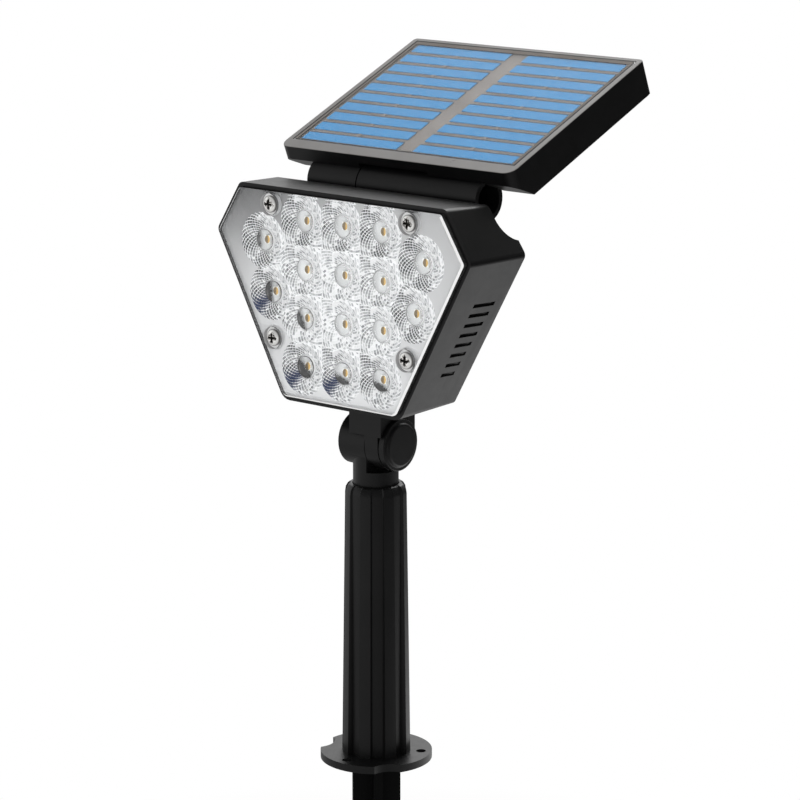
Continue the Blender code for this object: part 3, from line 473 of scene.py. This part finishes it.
def clear_plastic(name, roughness, colour, index):
    """Clear plastic that lets lamp light reach what is behind it."""
    made, tree, shader = new_material(name, roughness)
    shader.inputs["Base Color"].default_value = (*colour, 1.0)
    shader.inputs["Transmission Weight"].default_value = 1.0
    shader.inputs["IOR"].default_value = index
    bump(tree, shader, noise(tree, scale=90.0), strength=0.04, distance=0.0002)
    path = tree.nodes.new("ShaderNodeLightPath")
    passing = add_node(tree, "ShaderNodeBsdfTransparent", Color=(*colour, 1.0))
    surface = blend(tree, path.outputs["Is Shadow Ray"], shader.outputs["BSDF"], passing.outputs["BSDF"])
    tree.links.new(surface, tree.nodes["Material Output"].inputs["Surface"])
    return made


def clear_cover():
    return clear_plastic("clear_cover", roughness=0.03, colour=(0.97, 0.98, 0.99), index=1.49)


def clear_sheet():
    return clear_plastic("clear_sheet", roughness=0.12, colour=(0.98, 0.98, 0.98), index=1.15)


def led_phosphor():
    """A white package with a round phosphor window, browner on its left."""
    brown, amber, white = (0.14, 0.09, 0.03), (0.60, 0.36, 0.07), (0.88, 0.87, 0.83)
    made, tree, shader = new_material("led_phosphor", roughness=0.30)
    across, up = off_middle(tree, WINDOW_WIDTH, WINDOW_HEIGHT)
    window = mixed(tree, level(tree, across, WINDOW_CHANGE), brown, amber)
    outside = math_node(tree, "GREATER_THAN", radius_of(tree, across, up), 1.0)
    paint(tree, shader, mixed(tree, outside, window, white))
    bump(tree, shader, noise(tree, scale=2500.0), strength=0.1)
    return made


def facets():
    """Pearl-white diamond facets, of which the shaded ones turn dark or navy as painted reflections."""
    black, grey, pearl = (0.006, 0.006, 0.006), (0.15, 0.155, 0.16), (0.34, 0.35, 0.36)
    white, line_white, navy = (0.95, 0.95, 0.95), (0.97, 0.97, 0.97), (0.010, 0.022, 0.075)
    made, tree, shader = new_material("lens_facets", roughness=0.18, specular=0.2)
    around, rows, _ = split_vector(tree, coordinates(tree, "UV"))
    half_rows = math_node(tree, "MULTIPLY", rows, 0.5)
    stray = spread(tree, noise(tree, scale=420.0), -FACET_STRAY, FACET_STRAY)
    uneven = math_node(tree, "ADD", around, stray)
    slants = [math_node(tree, way, uneven, half_rows) for way in ("ADD", "SUBTRACT")]
    cell = tree.nodes.new("ShaderNodeCombineXYZ")
    for slant, socket in zip(slants, cell.inputs):
        tree.links.new(math_node(tree, "FLOOR", slant), socket)
    across, along = [math_node(tree, "FRACT", slant) for slant in slants]
    chance = tree.nodes.new("ShaderNodeTexWhiteNoise")
    tree.links.new(cell.outputs["Vector"], chance.inputs["Vector"])
    _, dark_chance, pale_chance = split_colour(tree, chance.outputs["Color"])
    share, blueness, darkness = split_colour(tree, mesh_shade(tree))
    pale = ramp(tree, pale_chance, *zip(PEARL_STOPS, (pearl, white)))
    dark = mixed(tree, darkness, pale, ramp(tree, dark_chance, (0.0, black), (1.0, grey)))
    shaded = math_node(tree, "LESS_THAN", chance.outputs["Value"], share)
    fade = level(tree, along, FACET_FADE, FACET_FADE_LEVELS)
    colour = mixed(tree, math_node(tree, "MULTIPLY", shaded, fade), pale, dark)
    from_edge = math_node(tree, "MINIMUM", across, math_node(tree, "SUBTRACT", 1.0, across))
    colour = mixed(tree, math_node(tree, "GREATER_THAN", from_edge, FACET_LINE), line_white, colour)
    streak = math_node(tree, "LESS_THAN", along, spread(tree, blueness, 0.0, NAVY_LENGTH))
    colour = mixed(tree, math_node(tree, "MULTIPLY", streak, blueness), colour, navy)
    paint(tree, shader, colour)
    return made


def tinted():
    """Polished plastic that takes its grey from the mesh, with a faint drift; some of these greys are
    painted shade, painted reflections and a painted highlight.
    """
    made, tree, shader = new_material("lens_tints", roughness=0.12)
    drift = level(tree, noise(tree, scale=400.0), TINT_DRIFT, TINT_DRIFT_LEVELS)
    paint(tree, shader, mixed(tree, drift, mesh_shade(tree), TINT_GREY))
    bump(tree, shader, noise(tree, scale=700.0), strength=0.05)
    return made


def silicon():
    """Mottled blue cell strips, each with a painted shadow line along its rear edge, and the grey ribbon
    between them.
    """
    blue, pale, dark = (0.000, 0.165, 0.420), (0.010, 0.235, 0.500), (0.008, 0.022, 0.050)
    made, tree, shader = new_material("silicon", roughness=0.45, specular=0.03)
    up_slope = Vector((0.0, math.cos(PANEL_TILT), math.sin(PANEL_TILT)))
    low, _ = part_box("cell_string_left")
    start = low.y * up_slope.y + low.z * up_slope.z
    along = math_node(tree, "SUBTRACT", towards(tree, coordinates(tree), up_slope), start)
    place = math_node(tree, "FRACT", math_node(tree, "DIVIDE", along, STRIP_PITCH))
    share = STRIP_WIDTH / STRIP_PITCH
    mottled = ramp(tree, noise(tree, scale=1500.0, detail=4.0), *zip(STRIP_STOPS, (blue, pale)))
    # Painted shadow along each strip's rear edge.
    line = level(tree, place, [share * stop for stop in STRIP_SHADOW_LINE])
    strip = mixed(tree, line, mottled, dark)
    paint(tree, shader, mixed(tree, math_node(tree, "GREATER_THAN", place, share), strip, RIBBON_GREY))
    bump(tree, shader, noise(tree, scale=900.0), strength=0.05)
    return made


BLACK = black_plastic()
SPIKE_BLACK_AND_SHADE = spike_plastic_and_shade()
RIM_PAINTED_SHEEN = panel_rim_painted_sheen()
STEEL = steel()
RECESS_SHADE_STEEL = steel_painted_shade()
SCREW_STEEL = screw_steel()
RUBBER = rubber()
WHITE_RUBBER = white_rubber()
BACKING = backing()
WHITE_BOARD = white_board()
GREEN_BOARD = green_board()
SLEEVE = cell_sleeve()
COVER = clear_cover()
SHEET = clear_sheet()
PHOSPHOR = led_phosphor()
FACETS = facets()
TINTED = tinted()
SILICON = silicon()


# Piece helpers

def finish_node(node, finish):
    slots = NODES[node].data.materials
    slots.clear()
    slots.append(finish)


def to_mesh(bm, name):
    mesh = bpy.data.meshes.new(name)
    bm.to_mesh(mesh)
    bm.free()
    return mesh


def add_object(name, data):
    made = bpy.data.objects.new(name, data)
    bpy.context.scene.collection.objects.link(made)
    return made


def add_piece(name, mesh, finish, body, replaced):
    mesh.materials.append(finish)
    piece = add_object(name, mesh)
    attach(piece, body)
    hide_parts(replaced)
    return piece


def soft_edged(node, finish, body, width=SOFT_EDGE):
    """The CAD solid's own shape with its edges rounded, in the solid's place."""
    bm = bmesh.new()
    bm.from_mesh(NODES[node].data)
    bmesh.ops.remove_doubles(bm, verts=bm.verts, dist=MERGE_DISTANCE)
    bmesh.ops.dissolve_limit(bm, angle_limit=math.radians(FLAT_ANGLE), verts=bm.verts, edges=bm.edges)
    mesh = to_mesh(bm, f"{node}_skin")
    mesh.shade_smooth()
    mesh.set_sharp_from_angle(angle=math.radians(SHARP_ANGLE))
    piece = add_piece(f"{node}_skin", mesh, finish, body, node)
    bevel = piece.modifiers.new("soft_edges", "BEVEL")
    bevel.width = width
    bevel.segments = EDGE_SEGMENTS
    bevel.limit_method = "ANGLE"
    bevel.angle_limit = math.radians(SHARP_ANGLE)
    bevel.use_clamp_overlap = True
    normals = piece.modifiers.new("even_shading", "WEIGHTED_NORMAL")
    normals.keep_sharp = True
    return piece


def middle(node):
    low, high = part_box(node)
    return (low + high) / 2


def hull(points):
    """Convex outline of points in a plane, anticlockwise."""
    def half(run):
        chain = []
        for p in run:
            while len(chain) > 1:
                (ax, az), (bx, bz) = chain[-2], chain[-1]
                if (bx - ax) * (p[1] - az) - (bz - az) * (p[0] - ax) > 0:
                    break
                chain.pop()
            chain.append(p)
        return chain[:-1]
    ordered = sorted(set(points))
    return half(ordered) + half(ordered[::-1])


def inside(point, outline):
    """Whether a point lies in a convex outline that runs anticlockwise."""
    for (ax, az), (bx, bz) in zip(outline, outline[1:] + outline[:1]):
        if (bx - ax) * (point[1] - az) < (bz - az) * (point[0] - ax):
            return False
    return True


def outline_at(node, depth):
    """The outline of a CAD node's points that lie at one depth."""
    points = [vertex.co for vertex in NODES[node].data.vertices if abs(vertex.co.y - depth) < SAME_DEPTH]
    return hull([(round(p.x, OUTLINE_DIGITS), round(p.z, OUTLINE_DIGITS)) for p in points])


def ring_at(bm, points, depth):
    return [bm.verts.new((x, depth, z)) for x, z in points]


def even_turns(count):
    return [2 * math.pi * i / count for i in range(count)]


def circle(centre, radius, count):
    turns = even_turns(count)
    return [(centre.x + radius * math.cos(t), centre.z + radius * math.sin(t)) for t in turns]


def rim_edges(bm, ring):
    found = []
    for a, b in zip(ring, ring[1:] + ring[:1]):
        found.append(bm.edges.get((a, b)) or bm.edges.new((a, b)))
    return found


def skirt(bm, near, far, smooth=False):
    """Faces between two rings."""
    count = len(near)
    made = []
    for i in range(count):
        j = (i + 1) % count
        face = bm.faces.new((near[i], near[j], far[j], far[i]))
        face.smooth = smooth
        made.append(face)
    return made


# Lens cover

def lobe(turn, facing, sharpness):
    """How much a direction faces another one, both in degrees."""
    return max(0.0, math.cos(math.radians(turn - facing))) ** sharpness


def facet_painted_reflection(centre, hub, turn):
    """Painted reflections: share of shaded facets, how navy and how dark they are, at one side of one
    optic.
    """
    away = math.hypot(centre.x - hub.x, centre.z - hub.z) / DARK_REACH
    away = min(1.0, max(DARK_LEAST, away))
    high = (centre.z - hub.z) / DARK_REACH
    under = UPPER_UNDER_SHADE if high > 0.0 else UNDER_SHADE
    sides = (LEFT_SHADE, under, ABOVE_SHADE)
    most = max(part * lobe(turn, facing, SHADE_SHARPNESS) for facing, part in sides)
    shaded = min(1.0, DARK_GAIN * away * most)
    share = PLAIN_SHARE + (1.0 - PLAIN_SHARE) * shaded
    dark = PLAIN_DARK + (1.0 - PLAIN_DARK) * shaded
    navy = 0.0
    if high < NAVY_HIGH and away > NAVY_AWAY and centre.x < hub.x + CUP_RADIUS:
        navy = lobe(turn, NAVY_TURN, NAVY_SHARPNESS)
    return max(share, navy), navy, max(dark, navy)


def painted_half_moon(centre, hub):
    """Painted reflection of the dark housing in a tube: direction in degrees, start as a share of the
    radius, grey.
    """
    low = min(1.0, max(MOON_HIGH, (hub.z - centre.z) / DARK_REACH))
    aside = max(0.0, (hub.x - centre.x) / DARK_REACH)
    amount = (low + aside) / 2
    if amount < MOON_LEAST:
        return NO_MOON
    lowness = max(0.0, low) / (max(0.0, low) + aside)
    start = max(MOON_START_LEAST, MOON_START - MOON_START_FALL * amount)
    grey = max(MOON_GREY_LEAST, MOON_GREY - MOON_GREY_FALL * amount)
    return MOON_LEFT + MOON_SWING * lowness, start, grey


def facet_reach(centre, turn, optics, border):
    """How far an optic's facets run in one direction: to the next optic, or to the cover's edge."""
    way = Vector((math.cos(turn), math.sin(turn)))
    far = (centre.x + FILL_REACH * way.x, centre.z + FILL_REACH * way.y)
    among = inside(far, hull([(other.x, other.z) for other in optics]))
    reach = FILL_REACH if among else CUP_REACH
    for other in optics:
        off = Vector((other.x - centre.x, other.z - centre.z))
        along = off.normalized().dot(way)
        if along > LEAST_FACING:
            reach = min(reach, (off.length / 2 - CUP_CLEAR) / along)
    for start, end in zip(border, border[1:] + border[:1]):
        side = (Vector(end) - Vector(start)).normalized()
        outward = Vector((side.y, -side.x))
        along = outward.dot(way)
        if along > LEAST_FACING:
            clear = outward.dot(Vector(start) - Vector((centre.x, centre.z))) - BORDER_CLEAR
            reach = min(reach, clear / along)
    return max(reach, CUP_RADIUS + CUP_CLEAR)


def facet_rings(reaches, mouth_depth, foot_depth):
    """Radius and depth of each point, ring by ring, from the outermost facets to the cone's foot."""
    rings = [[(reach, mouth_depth) for reach in reaches]]
    for row in range(CUP_ROWS + 1):
        share = row / CUP_ROWS
        radius = CUP_RADIUS + (CUP_FOOT - CUP_RADIUS) * share
        depth = mouth_depth + (foot_depth - mouth_depth) * share ** CUP_CURVE
        raised = FACET_RISE if row < CUP_ROWS else 0.0
        rings.append([(radius + raised * ((i + row) % 2), depth) for i in range(len(reaches))])
    return rings


def faceted_cone(bm, centre, hub, reaches, mouth_depth, foot_depth):
    """The mirror of one optic: rings of diamond facets down to its foot."""
    count = len(reaches)
    uv = bm.loops.layers.uv["facets"]
    shade = bm.loops.layers.float_color["shade"]
    rings = []
    for points in facet_rings(reaches, mouth_depth, foot_depth):
        rings.append([bm.verts.new((centre.x + r * math.cos(t), depth, centre.z + r * math.sin(t)))
                      for t, (r, depth) in zip(even_turns(count), points)])
    pitch = (CUP_RADIUS - CUP_FOOT) / CUP_ROWS
    outer = [1.0 - (reach - CUP_RADIUS) / pitch for reach in reaches]
    for row, (near, far) in enumerate(zip(rings, rings[1:])):
        for i, face in enumerate(skirt(bm, near, far)):
            face.material_index = FACET_SLOT
            for loop, (round_step, down_step) in zip(face.loops, FACE_CORNERS):
                place = i + round_step
                down = row + down_step if row + down_step > 0 else outer[place % count]
                loop[uv].uv = (place / FACET_POINTS, down)
                loop[shade] = (*facet_painted_reflection(centre, hub, 360.0 * place / count), 1.0)
    return rings[0], rings[-1]


def tint_by_place(bm, faces, tone_at):
    shade = bm.loops.layers.float_color["shade"]
    for face in faces:
        face.material_index = TINT_SLOT
        for loop in face.loops:
            tone = tone_at(loop.vert.co)
            loop[shade] = (tone, tone, tone, 1.0)


def tint(bm, faces, tone):
    tint_by_place(bm, faces, lambda place: tone)


def plate_painted_shade(point, low, high):
    """Grey of the cover's flat back, painted shade: palest at its foot, darker towards its top and darkest
    in its upper left corner.
    """
    across = (point.x - low.x) / (high.x - low.x)
    down = (high.z - point.z) / (high.z - low.z)
    corner = max(0.0, 1.0 - math.hypot(across / PLATE_SPAN, down / PLATE_DROP))
    plain = PLATE_TOP + (PLATE_FOOT - PLATE_TOP) * down
    return plain + (PLATE_CORNER_SHADE - plain) * corner


def has_painted_highlight(face):
    """Whether a face of the cover's bevel is on the side with the painted highlight."""
    along = (face.verts[1].co - face.verts[0].co).normalized()
    return BEVEL_SIDE.dot(Vector((along.z, -along.x))) > BEVEL_FACING


def well(bm, centre, hub, cone_foot, foot_depth):
    """The tube over an LED with its convex roof, both partly painted dark as a painted reflection of the
    housing.
    """
    count = len(cone_foot)
    roof_depth = foot_depth - WELL_DEPTH
    roof_radius = WELL_RADIUS * WELL_TAPER
    lip = ring_at(bm, circle(centre, WELL_RADIUS, count), foot_depth)
    skirt(bm, cone_foot, lip)
    last = ring_at(bm, circle(centre, roof_radius, count), roof_depth)
    tube = skirt(bm, lip, last, smooth=True)
    tint(bm, tube, TUBE_TONE)
    roof = []
    for step in range(1, WELL_RINGS):
        lean = step / WELL_RINGS * math.pi / 2
        outline = circle(centre, roof_radius * math.cos(lean), count)
        ring = ring_at(bm, outline, roof_depth + WELL_CROWN * math.sin(lean))
        roof += skirt(bm, last, ring, smooth=True)
        last = ring
    tip = bm.verts.new((centre.x, roof_depth + WELL_CROWN, centre.z))
    for a, b in zip(last, last[1:] + last[:1]):
        roof.append(bm.faces.new((a, b, tip)))
        roof[-1].smooth = True
    # Painted reflection of the housing in the tube and its roof.
    turn, start, grey = painted_half_moon(centre, hub)
    way = Vector((math.cos(math.radians(turn)), 0.0, math.sin(math.radians(turn))))
    tint(bm, [face for face in tube + roof
              if way.dot(face.calc_center_median() - centre) > start * WELL_RADIUS], grey)


def screw_seat(bm, centre, front, back, foot):
    """A stepped hole through the cover and the boss behind it: its rims on the front and the back."""
    def ring(radius, depth):
        return ring_at(bm, circle(centre, radius, SEAT_SIDES), depth)

    mouth = ring(SEAT_RADIUS, front)
    floor = ring(SEAT_RADIUS, front + SEAT_DEPTH)
    neck = ring(SEAT_HOLE, front + SEAT_DEPTH)
    end = ring(SEAT_HOLE, foot)
    boss = ring(SEAT_BOSS, foot)
    root = ring(SEAT_BOSS, back)
    # Painted shade in the counterbore.
    tint(bm, skirt(bm, mouth, floor, smooth=True), SEAT_SHADE)
    white = skirt(bm, floor, neck)
    white += skirt(bm, neck, end, smooth=True)
    white += skirt(bm, end, boss)
    white += skirt(bm, boss, root, smooth=True)
    tint(bm, white, BOSS_TONE)
    return mouth, root


def make_cover():
    """The clear cover: its plate and bevel, an optic over each LED and a seat for each screw."""
    low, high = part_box("lens_cover")
    hub = middle("lens_cover")
    front = low.y
    step = front + COVER_BEVEL
    back = front + COVER_PLATE
    border = outline_at("lens_cover", back)
    bm = bmesh.new()
    bm.loops.layers.uv.new("facets")
    bm.loops.layers.float_color.new("shade")
    near = ring_at(bm, outline_at("lens_cover", front), front)
    edge = ring_at(bm, outline_at("lens_cover", step), step)
    far = ring_at(bm, border, back)
    bevel = skirt(bm, near, edge)
    # Painted highlight on one side of the bevel.
    tint(bm, [face for face in bevel if has_painted_highlight(face)], BEVEL_HIGHLIGHT)
    tint(bm, skirt(bm, edge, far), EDGE_TONE)
    front_rims = rim_edges(bm, near)
    back_rims = rim_edges(bm, far)
    centres = [middle(f"led_{i + 1:02d}") for i in range(LED_COUNT)]
    turns = even_turns(FACET_POINTS * CUP_FACETS)
    optics = set()
    for centre in centres:
        others = [other for other in centres if other is not centre]
        reaches = [facet_reach(centre, turn, others, border) for turn in turns]
        mouth, foot = faceted_cone(bm, centre, hub, reaches, back, high.y)
        well(bm, centre, hub, foot, high.y)
        optics.update(mouth)
        back_rims += rim_edges(bm, mouth)
    for i in range(SCREW_COUNT):
        mouth, root = screw_seat(bm, middle(f"lens_screw_{i + 1}"), front, back, high.y)
        front_rims += rim_edges(bm, mouth)
        back_rims += rim_edges(bm, root)
    bmesh.ops.triangle_fill(bm, use_beauty=True, edges=front_rims)
    filled = bmesh.ops.triangle_fill(bm, use_beauty=True, edges=back_rims)["geom"]
    plate = [face for face in filled if isinstance(face, bmesh.types.BMFace)]
    # Painted shade on the cover's flat back.
    tint_by_place(bm, plate, lambda place: plate_painted_shade(place, low, high))
    field = hull([(centre.x, centre.z) for centre in centres])
    tint(bm, [face for face in plate if optics.issuperset(face.verts)
              and inside(face.calc_center_median().xz, field)], TUBE_TONE)
    bmesh.ops.recalc_face_normals(bm, faces=bm.faces)
    mesh = to_mesh(bm, "cover_optics")
    add_piece("cover_optics", mesh, COVER, "head_body", "lens_cover")
    mesh.materials.append(FACETS)
    mesh.materials.append(TINTED)


# Fittings

def make_screw(node):
    """A cover screw with its edges broken and painted shade in its cross recess."""
    screw = soft_edged(node, SCREW_STEEL, "head_body", SCREW_EDGE)
    screw.data.materials.append(RECESS_SHADE_STEEL)
    centre = middle(node)
    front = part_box(node)[0].y
    for face in screw.data.polygons:
        off = math.hypot(face.center.x - centre.x, face.center.z - centre.z)
        if off < RECESS_RADIUS and face.center.y > front + RECESS_DEPTH:
            face.material_index = RECESS_SLOT


def finish_inside():
    for i in range(LED_COUNT):
        finish_node(f"led_{i + 1:02d}", PHOSPHOR)
    for node in ("hinge_bolt", "hinge_nut", "pivot_bolt", "pivot_nut", "board_screw_1", "board_screw_2"):
        finish_node(node, STEEL)
    for i in range(SCREW_COUNT):
        make_screw(f"lens_screw_{i + 1}")
    for node in ("hinge_washer", "pivot_washer", "tact_switch"):
        finish_node(node, RUBBER)
    finish_node("lens_gasket", WHITE_RUBBER)
    finish_node("led_board", WHITE_BOARD)
    finish_node("control_board", GREEN_BOARD)
    finish_node("battery_cell", SLEEVE)
    finish_node("battery_cradle", BLACK)


def make_tray():
    """The panel's tray, its top rim a lighter grey than its sides: painted sheen, where the black plastic
    catches light from above.
    """
    tray = soft_edged("panel_tray", BLACK, "panel_body")
    tray.data.materials.append(RIM_PAINTED_SHEEN)
    up = Vector((0.0, -math.sin(PANEL_TILT), math.cos(PANEL_TILT)))
    top = max(up.dot(vertex.co) for vertex in tray.data.vertices)
    # The top rim's faces get the painted sheen.
    for face in tray.data.polygons:
        if face.normal.dot(up) > RIM_FACING and up.dot(face.center) > top - RIM_DEPTH:
            face.material_index = RIM_SLOT


def make_body():
    soft_edged("post", BLACK, "post_body")
    soft_edged("ground_spike", SPIKE_BLACK_AND_SHADE, "post_body")
    soft_edged("neck", BLACK, "neck_body")
    soft_edged("head_housing", BLACK, "head_body")
    soft_edged("hinge_arm", BLACK, "head_body")
    soft_edged("pivot_cap", BLACK, "head_body")
    make_tray()
    soft_edged("mode_button", RUBBER, "button_body")


# Solar panel

def make_sheet():
    """The clear sheet: at its edge a dark line of painted shade, for the gap to the tray, and inside that a
    printed band in the backing's colour.
    """
    cos, sin = math.cos(PANEL_TILT), math.sin(PANEL_TILT)
    points = [vertex.co for vertex in NODES["solar_front_sheet"].data.vertices]
    wide = max(p.x for p in points)
    along = [p.y * cos + p.z * sin for p in points]
    up = [p.z * cos - p.y * sin for p in points]
    near, far, foot, top = min(along), max(along), min(up), max(up)
    bm = bmesh.new()

    def rectangle(front, side, back, height):
        right, start, end = wide - side, near + front, far - back
        corners = [(-right, start), (right, start), (right, end), (-right, end)]
        return [bm.verts.new((x, y * cos - height * sin, y * sin + height * cos)) for x, y in corners]

    under = rectangle(0.0, 0.0, 0.0, foot)
    edge = rectangle(0.0, 0.0, 0.0, top)
    line = rectangle(GAP_SHADE_LINE, GAP_SHADE_LINE, GAP_SHADE_LINE, top)
    band = rectangle(PRINT_FRONT, PRINT_SIDE, PRINT_BACK, top)
    bm.faces.new(under)
    skirt(bm, under, edge)
    # Painted shade of the gap round the sheet.
    for face in skirt(bm, edge, line):
        face.material_index = GAP_SHADE_SLOT
    for face in skirt(bm, line, band):
        face.material_index = BAND_SLOT
    bm.faces.new(band)
    bmesh.ops.recalc_face_normals(bm, faces=bm.faces)
    mesh = to_mesh(bm, "sheet_band_and_painted_shade")
    add_piece("sheet_band_and_painted_shade", mesh, SHEET, "panel_body", "solar_front_sheet")
    mesh.materials.append(BLACK)
    mesh.materials.append(BACKING)


def make_panel():
    finish_node("cell_string_left", SILICON)
    finish_node("cell_string_right", SILICON)
    finish_node("solar_backing", BACKING)
    make_sheet()


# Studio

def seen_directly(tree):
    """One where the camera or clear plastic sees the surface, and zero for lighting and reflections."""
    path = tree.nodes.new("ShaderNodeLightPath")
    return math_node(tree, "MAXIMUM", path.outputs["Is Camera Ray"], path.outputs["Is Transmission Ray"])


def mirrored(tree):
    return tree.nodes.new("ShaderNodeLightPath").outputs["Is Glossy Ray"]


def glow(tree, kind, strength):
    """White light of a plain strength, or of one from a socket."""
    node = add_node(tree, kind, Color=WHITE)
    if isinstance(strength, bpy.types.NodeSocket):
        tree.links.new(strength, node.inputs["Strength"])
    else:
        node.inputs["Strength"].default_value = strength
    return node.outputs[0]


def make_world():
    """Even light, a white backdrop, and reflections of a brighter side and a soft box."""
    world = bpy.data.worlds.new("studio")
    world.use_nodes = True
    bpy.context.scene.world = world
    tree = world.node_tree
    way = coordinates(tree, "Generated")
    bright_side = level(tree, towards(tree, way, SHEEN_SIDE), SHEEN_RANGE, SHEEN_LEVELS)
    soft_box = level(tree, towards(tree, way, BOX_SIDE), BOX_RANGE, BOX_LEVELS)
    sheen = glow(tree, "ShaderNodeBackground", math_node(tree, "ADD", bright_side, soft_box))
    lit = blend(tree, mirrored(tree), glow(tree, "ShaderNodeBackground", AMBIENT), sheen)
    surface = blend(tree, seen_directly(tree), lit, glow(tree, "ShaderNodeBackground", 1.0))
    tree.links.new(surface, tree.nodes["World Output"].inputs["Surface"])


def floor_material():
    """Pale floor with the object's shadow near it and white further off, unevenly bright in reflections."""
    made, tree, shader = new_material("floor", roughness=0.9, specular=0.0)
    shader.inputs["Base Color"].default_value = FLOOR_GREY
    place = coordinates(tree)
    slope = level(tree, towards(tree, place, FLOOR_SIDE), FLOOR_RANGE, FLOOR_LEVELS)
    pool = level(tree, away_from(tree, place, POOL_CENTRE), POOL_RANGE, POOL_LEVELS)
    sheen = glow(tree, "ShaderNodeEmission", math_node(tree, "ADD", slope, pool))
    lit = blend(tree, mirrored(tree), shader.outputs["BSDF"], sheen)
    far = level(tree, away_from(tree, place, POST_CENTRE), (SHADOW_RADIUS, WHITE_RADIUS))
    white = math_node(tree, "MULTIPLY", far, seen_directly(tree))
    surface = blend(tree, white, lit, glow(tree, "ShaderNodeEmission", 1.0))
    tree.links.new(surface, tree.nodes["Material Output"].inputs["Surface"])
    return made


def make_floor():
    bm = bmesh.new()
    bmesh.ops.create_circle(bm, cap_ends=True, segments=FLOOR_SIDES, radius=FLOOR_RADIUS)
    mesh = to_mesh(bm, "floor")
    mesh.materials.append(floor_material())
    floor = add_object("floor", mesh)
    floor.location = (0.0, 0.0, CAD_BOX[0][2] - FLOOR_DROP)


def aim(obj, target):
    obj.rotation_euler = (Vector(target) - obj.location).to_track_quat("-Z", "Y").to_euler()


def add_lamp(name, place, width, power, mirrors=False):
    light = bpy.data.lights.new(name, "AREA")
    light.shape = "DISK"
    light.size = width
    light.energy = power
    lamp = add_object(name, light)
    lamp.location = place
    lamp.visible_glossy = mirrors
    aim(lamp, CAMERA_AIM)


def make_camera():
    data = bpy.data.cameras.new("camera")
    data.lens = CAMERA_LENS
    data.sensor_width = CAMERA_SENSOR
    camera = add_object("camera", data)
    camera.location = CAMERA_AT
    aim(camera, CAMERA_AIM)
    bpy.context.scene.camera = camera


def make_studio():
    bpy.context.scene.view_settings.view_transform = "Standard"
    make_world()
    make_floor()
    add_lamp("key", *KEY_LAMP)
    add_lamp("top", *TOP_LAMP)
    add_lamp("streak", *STREAK_LAMP, mirrors=True)
    make_camera()


make_body()
make_panel()
finish_inside()
make_cover()
make_studio()
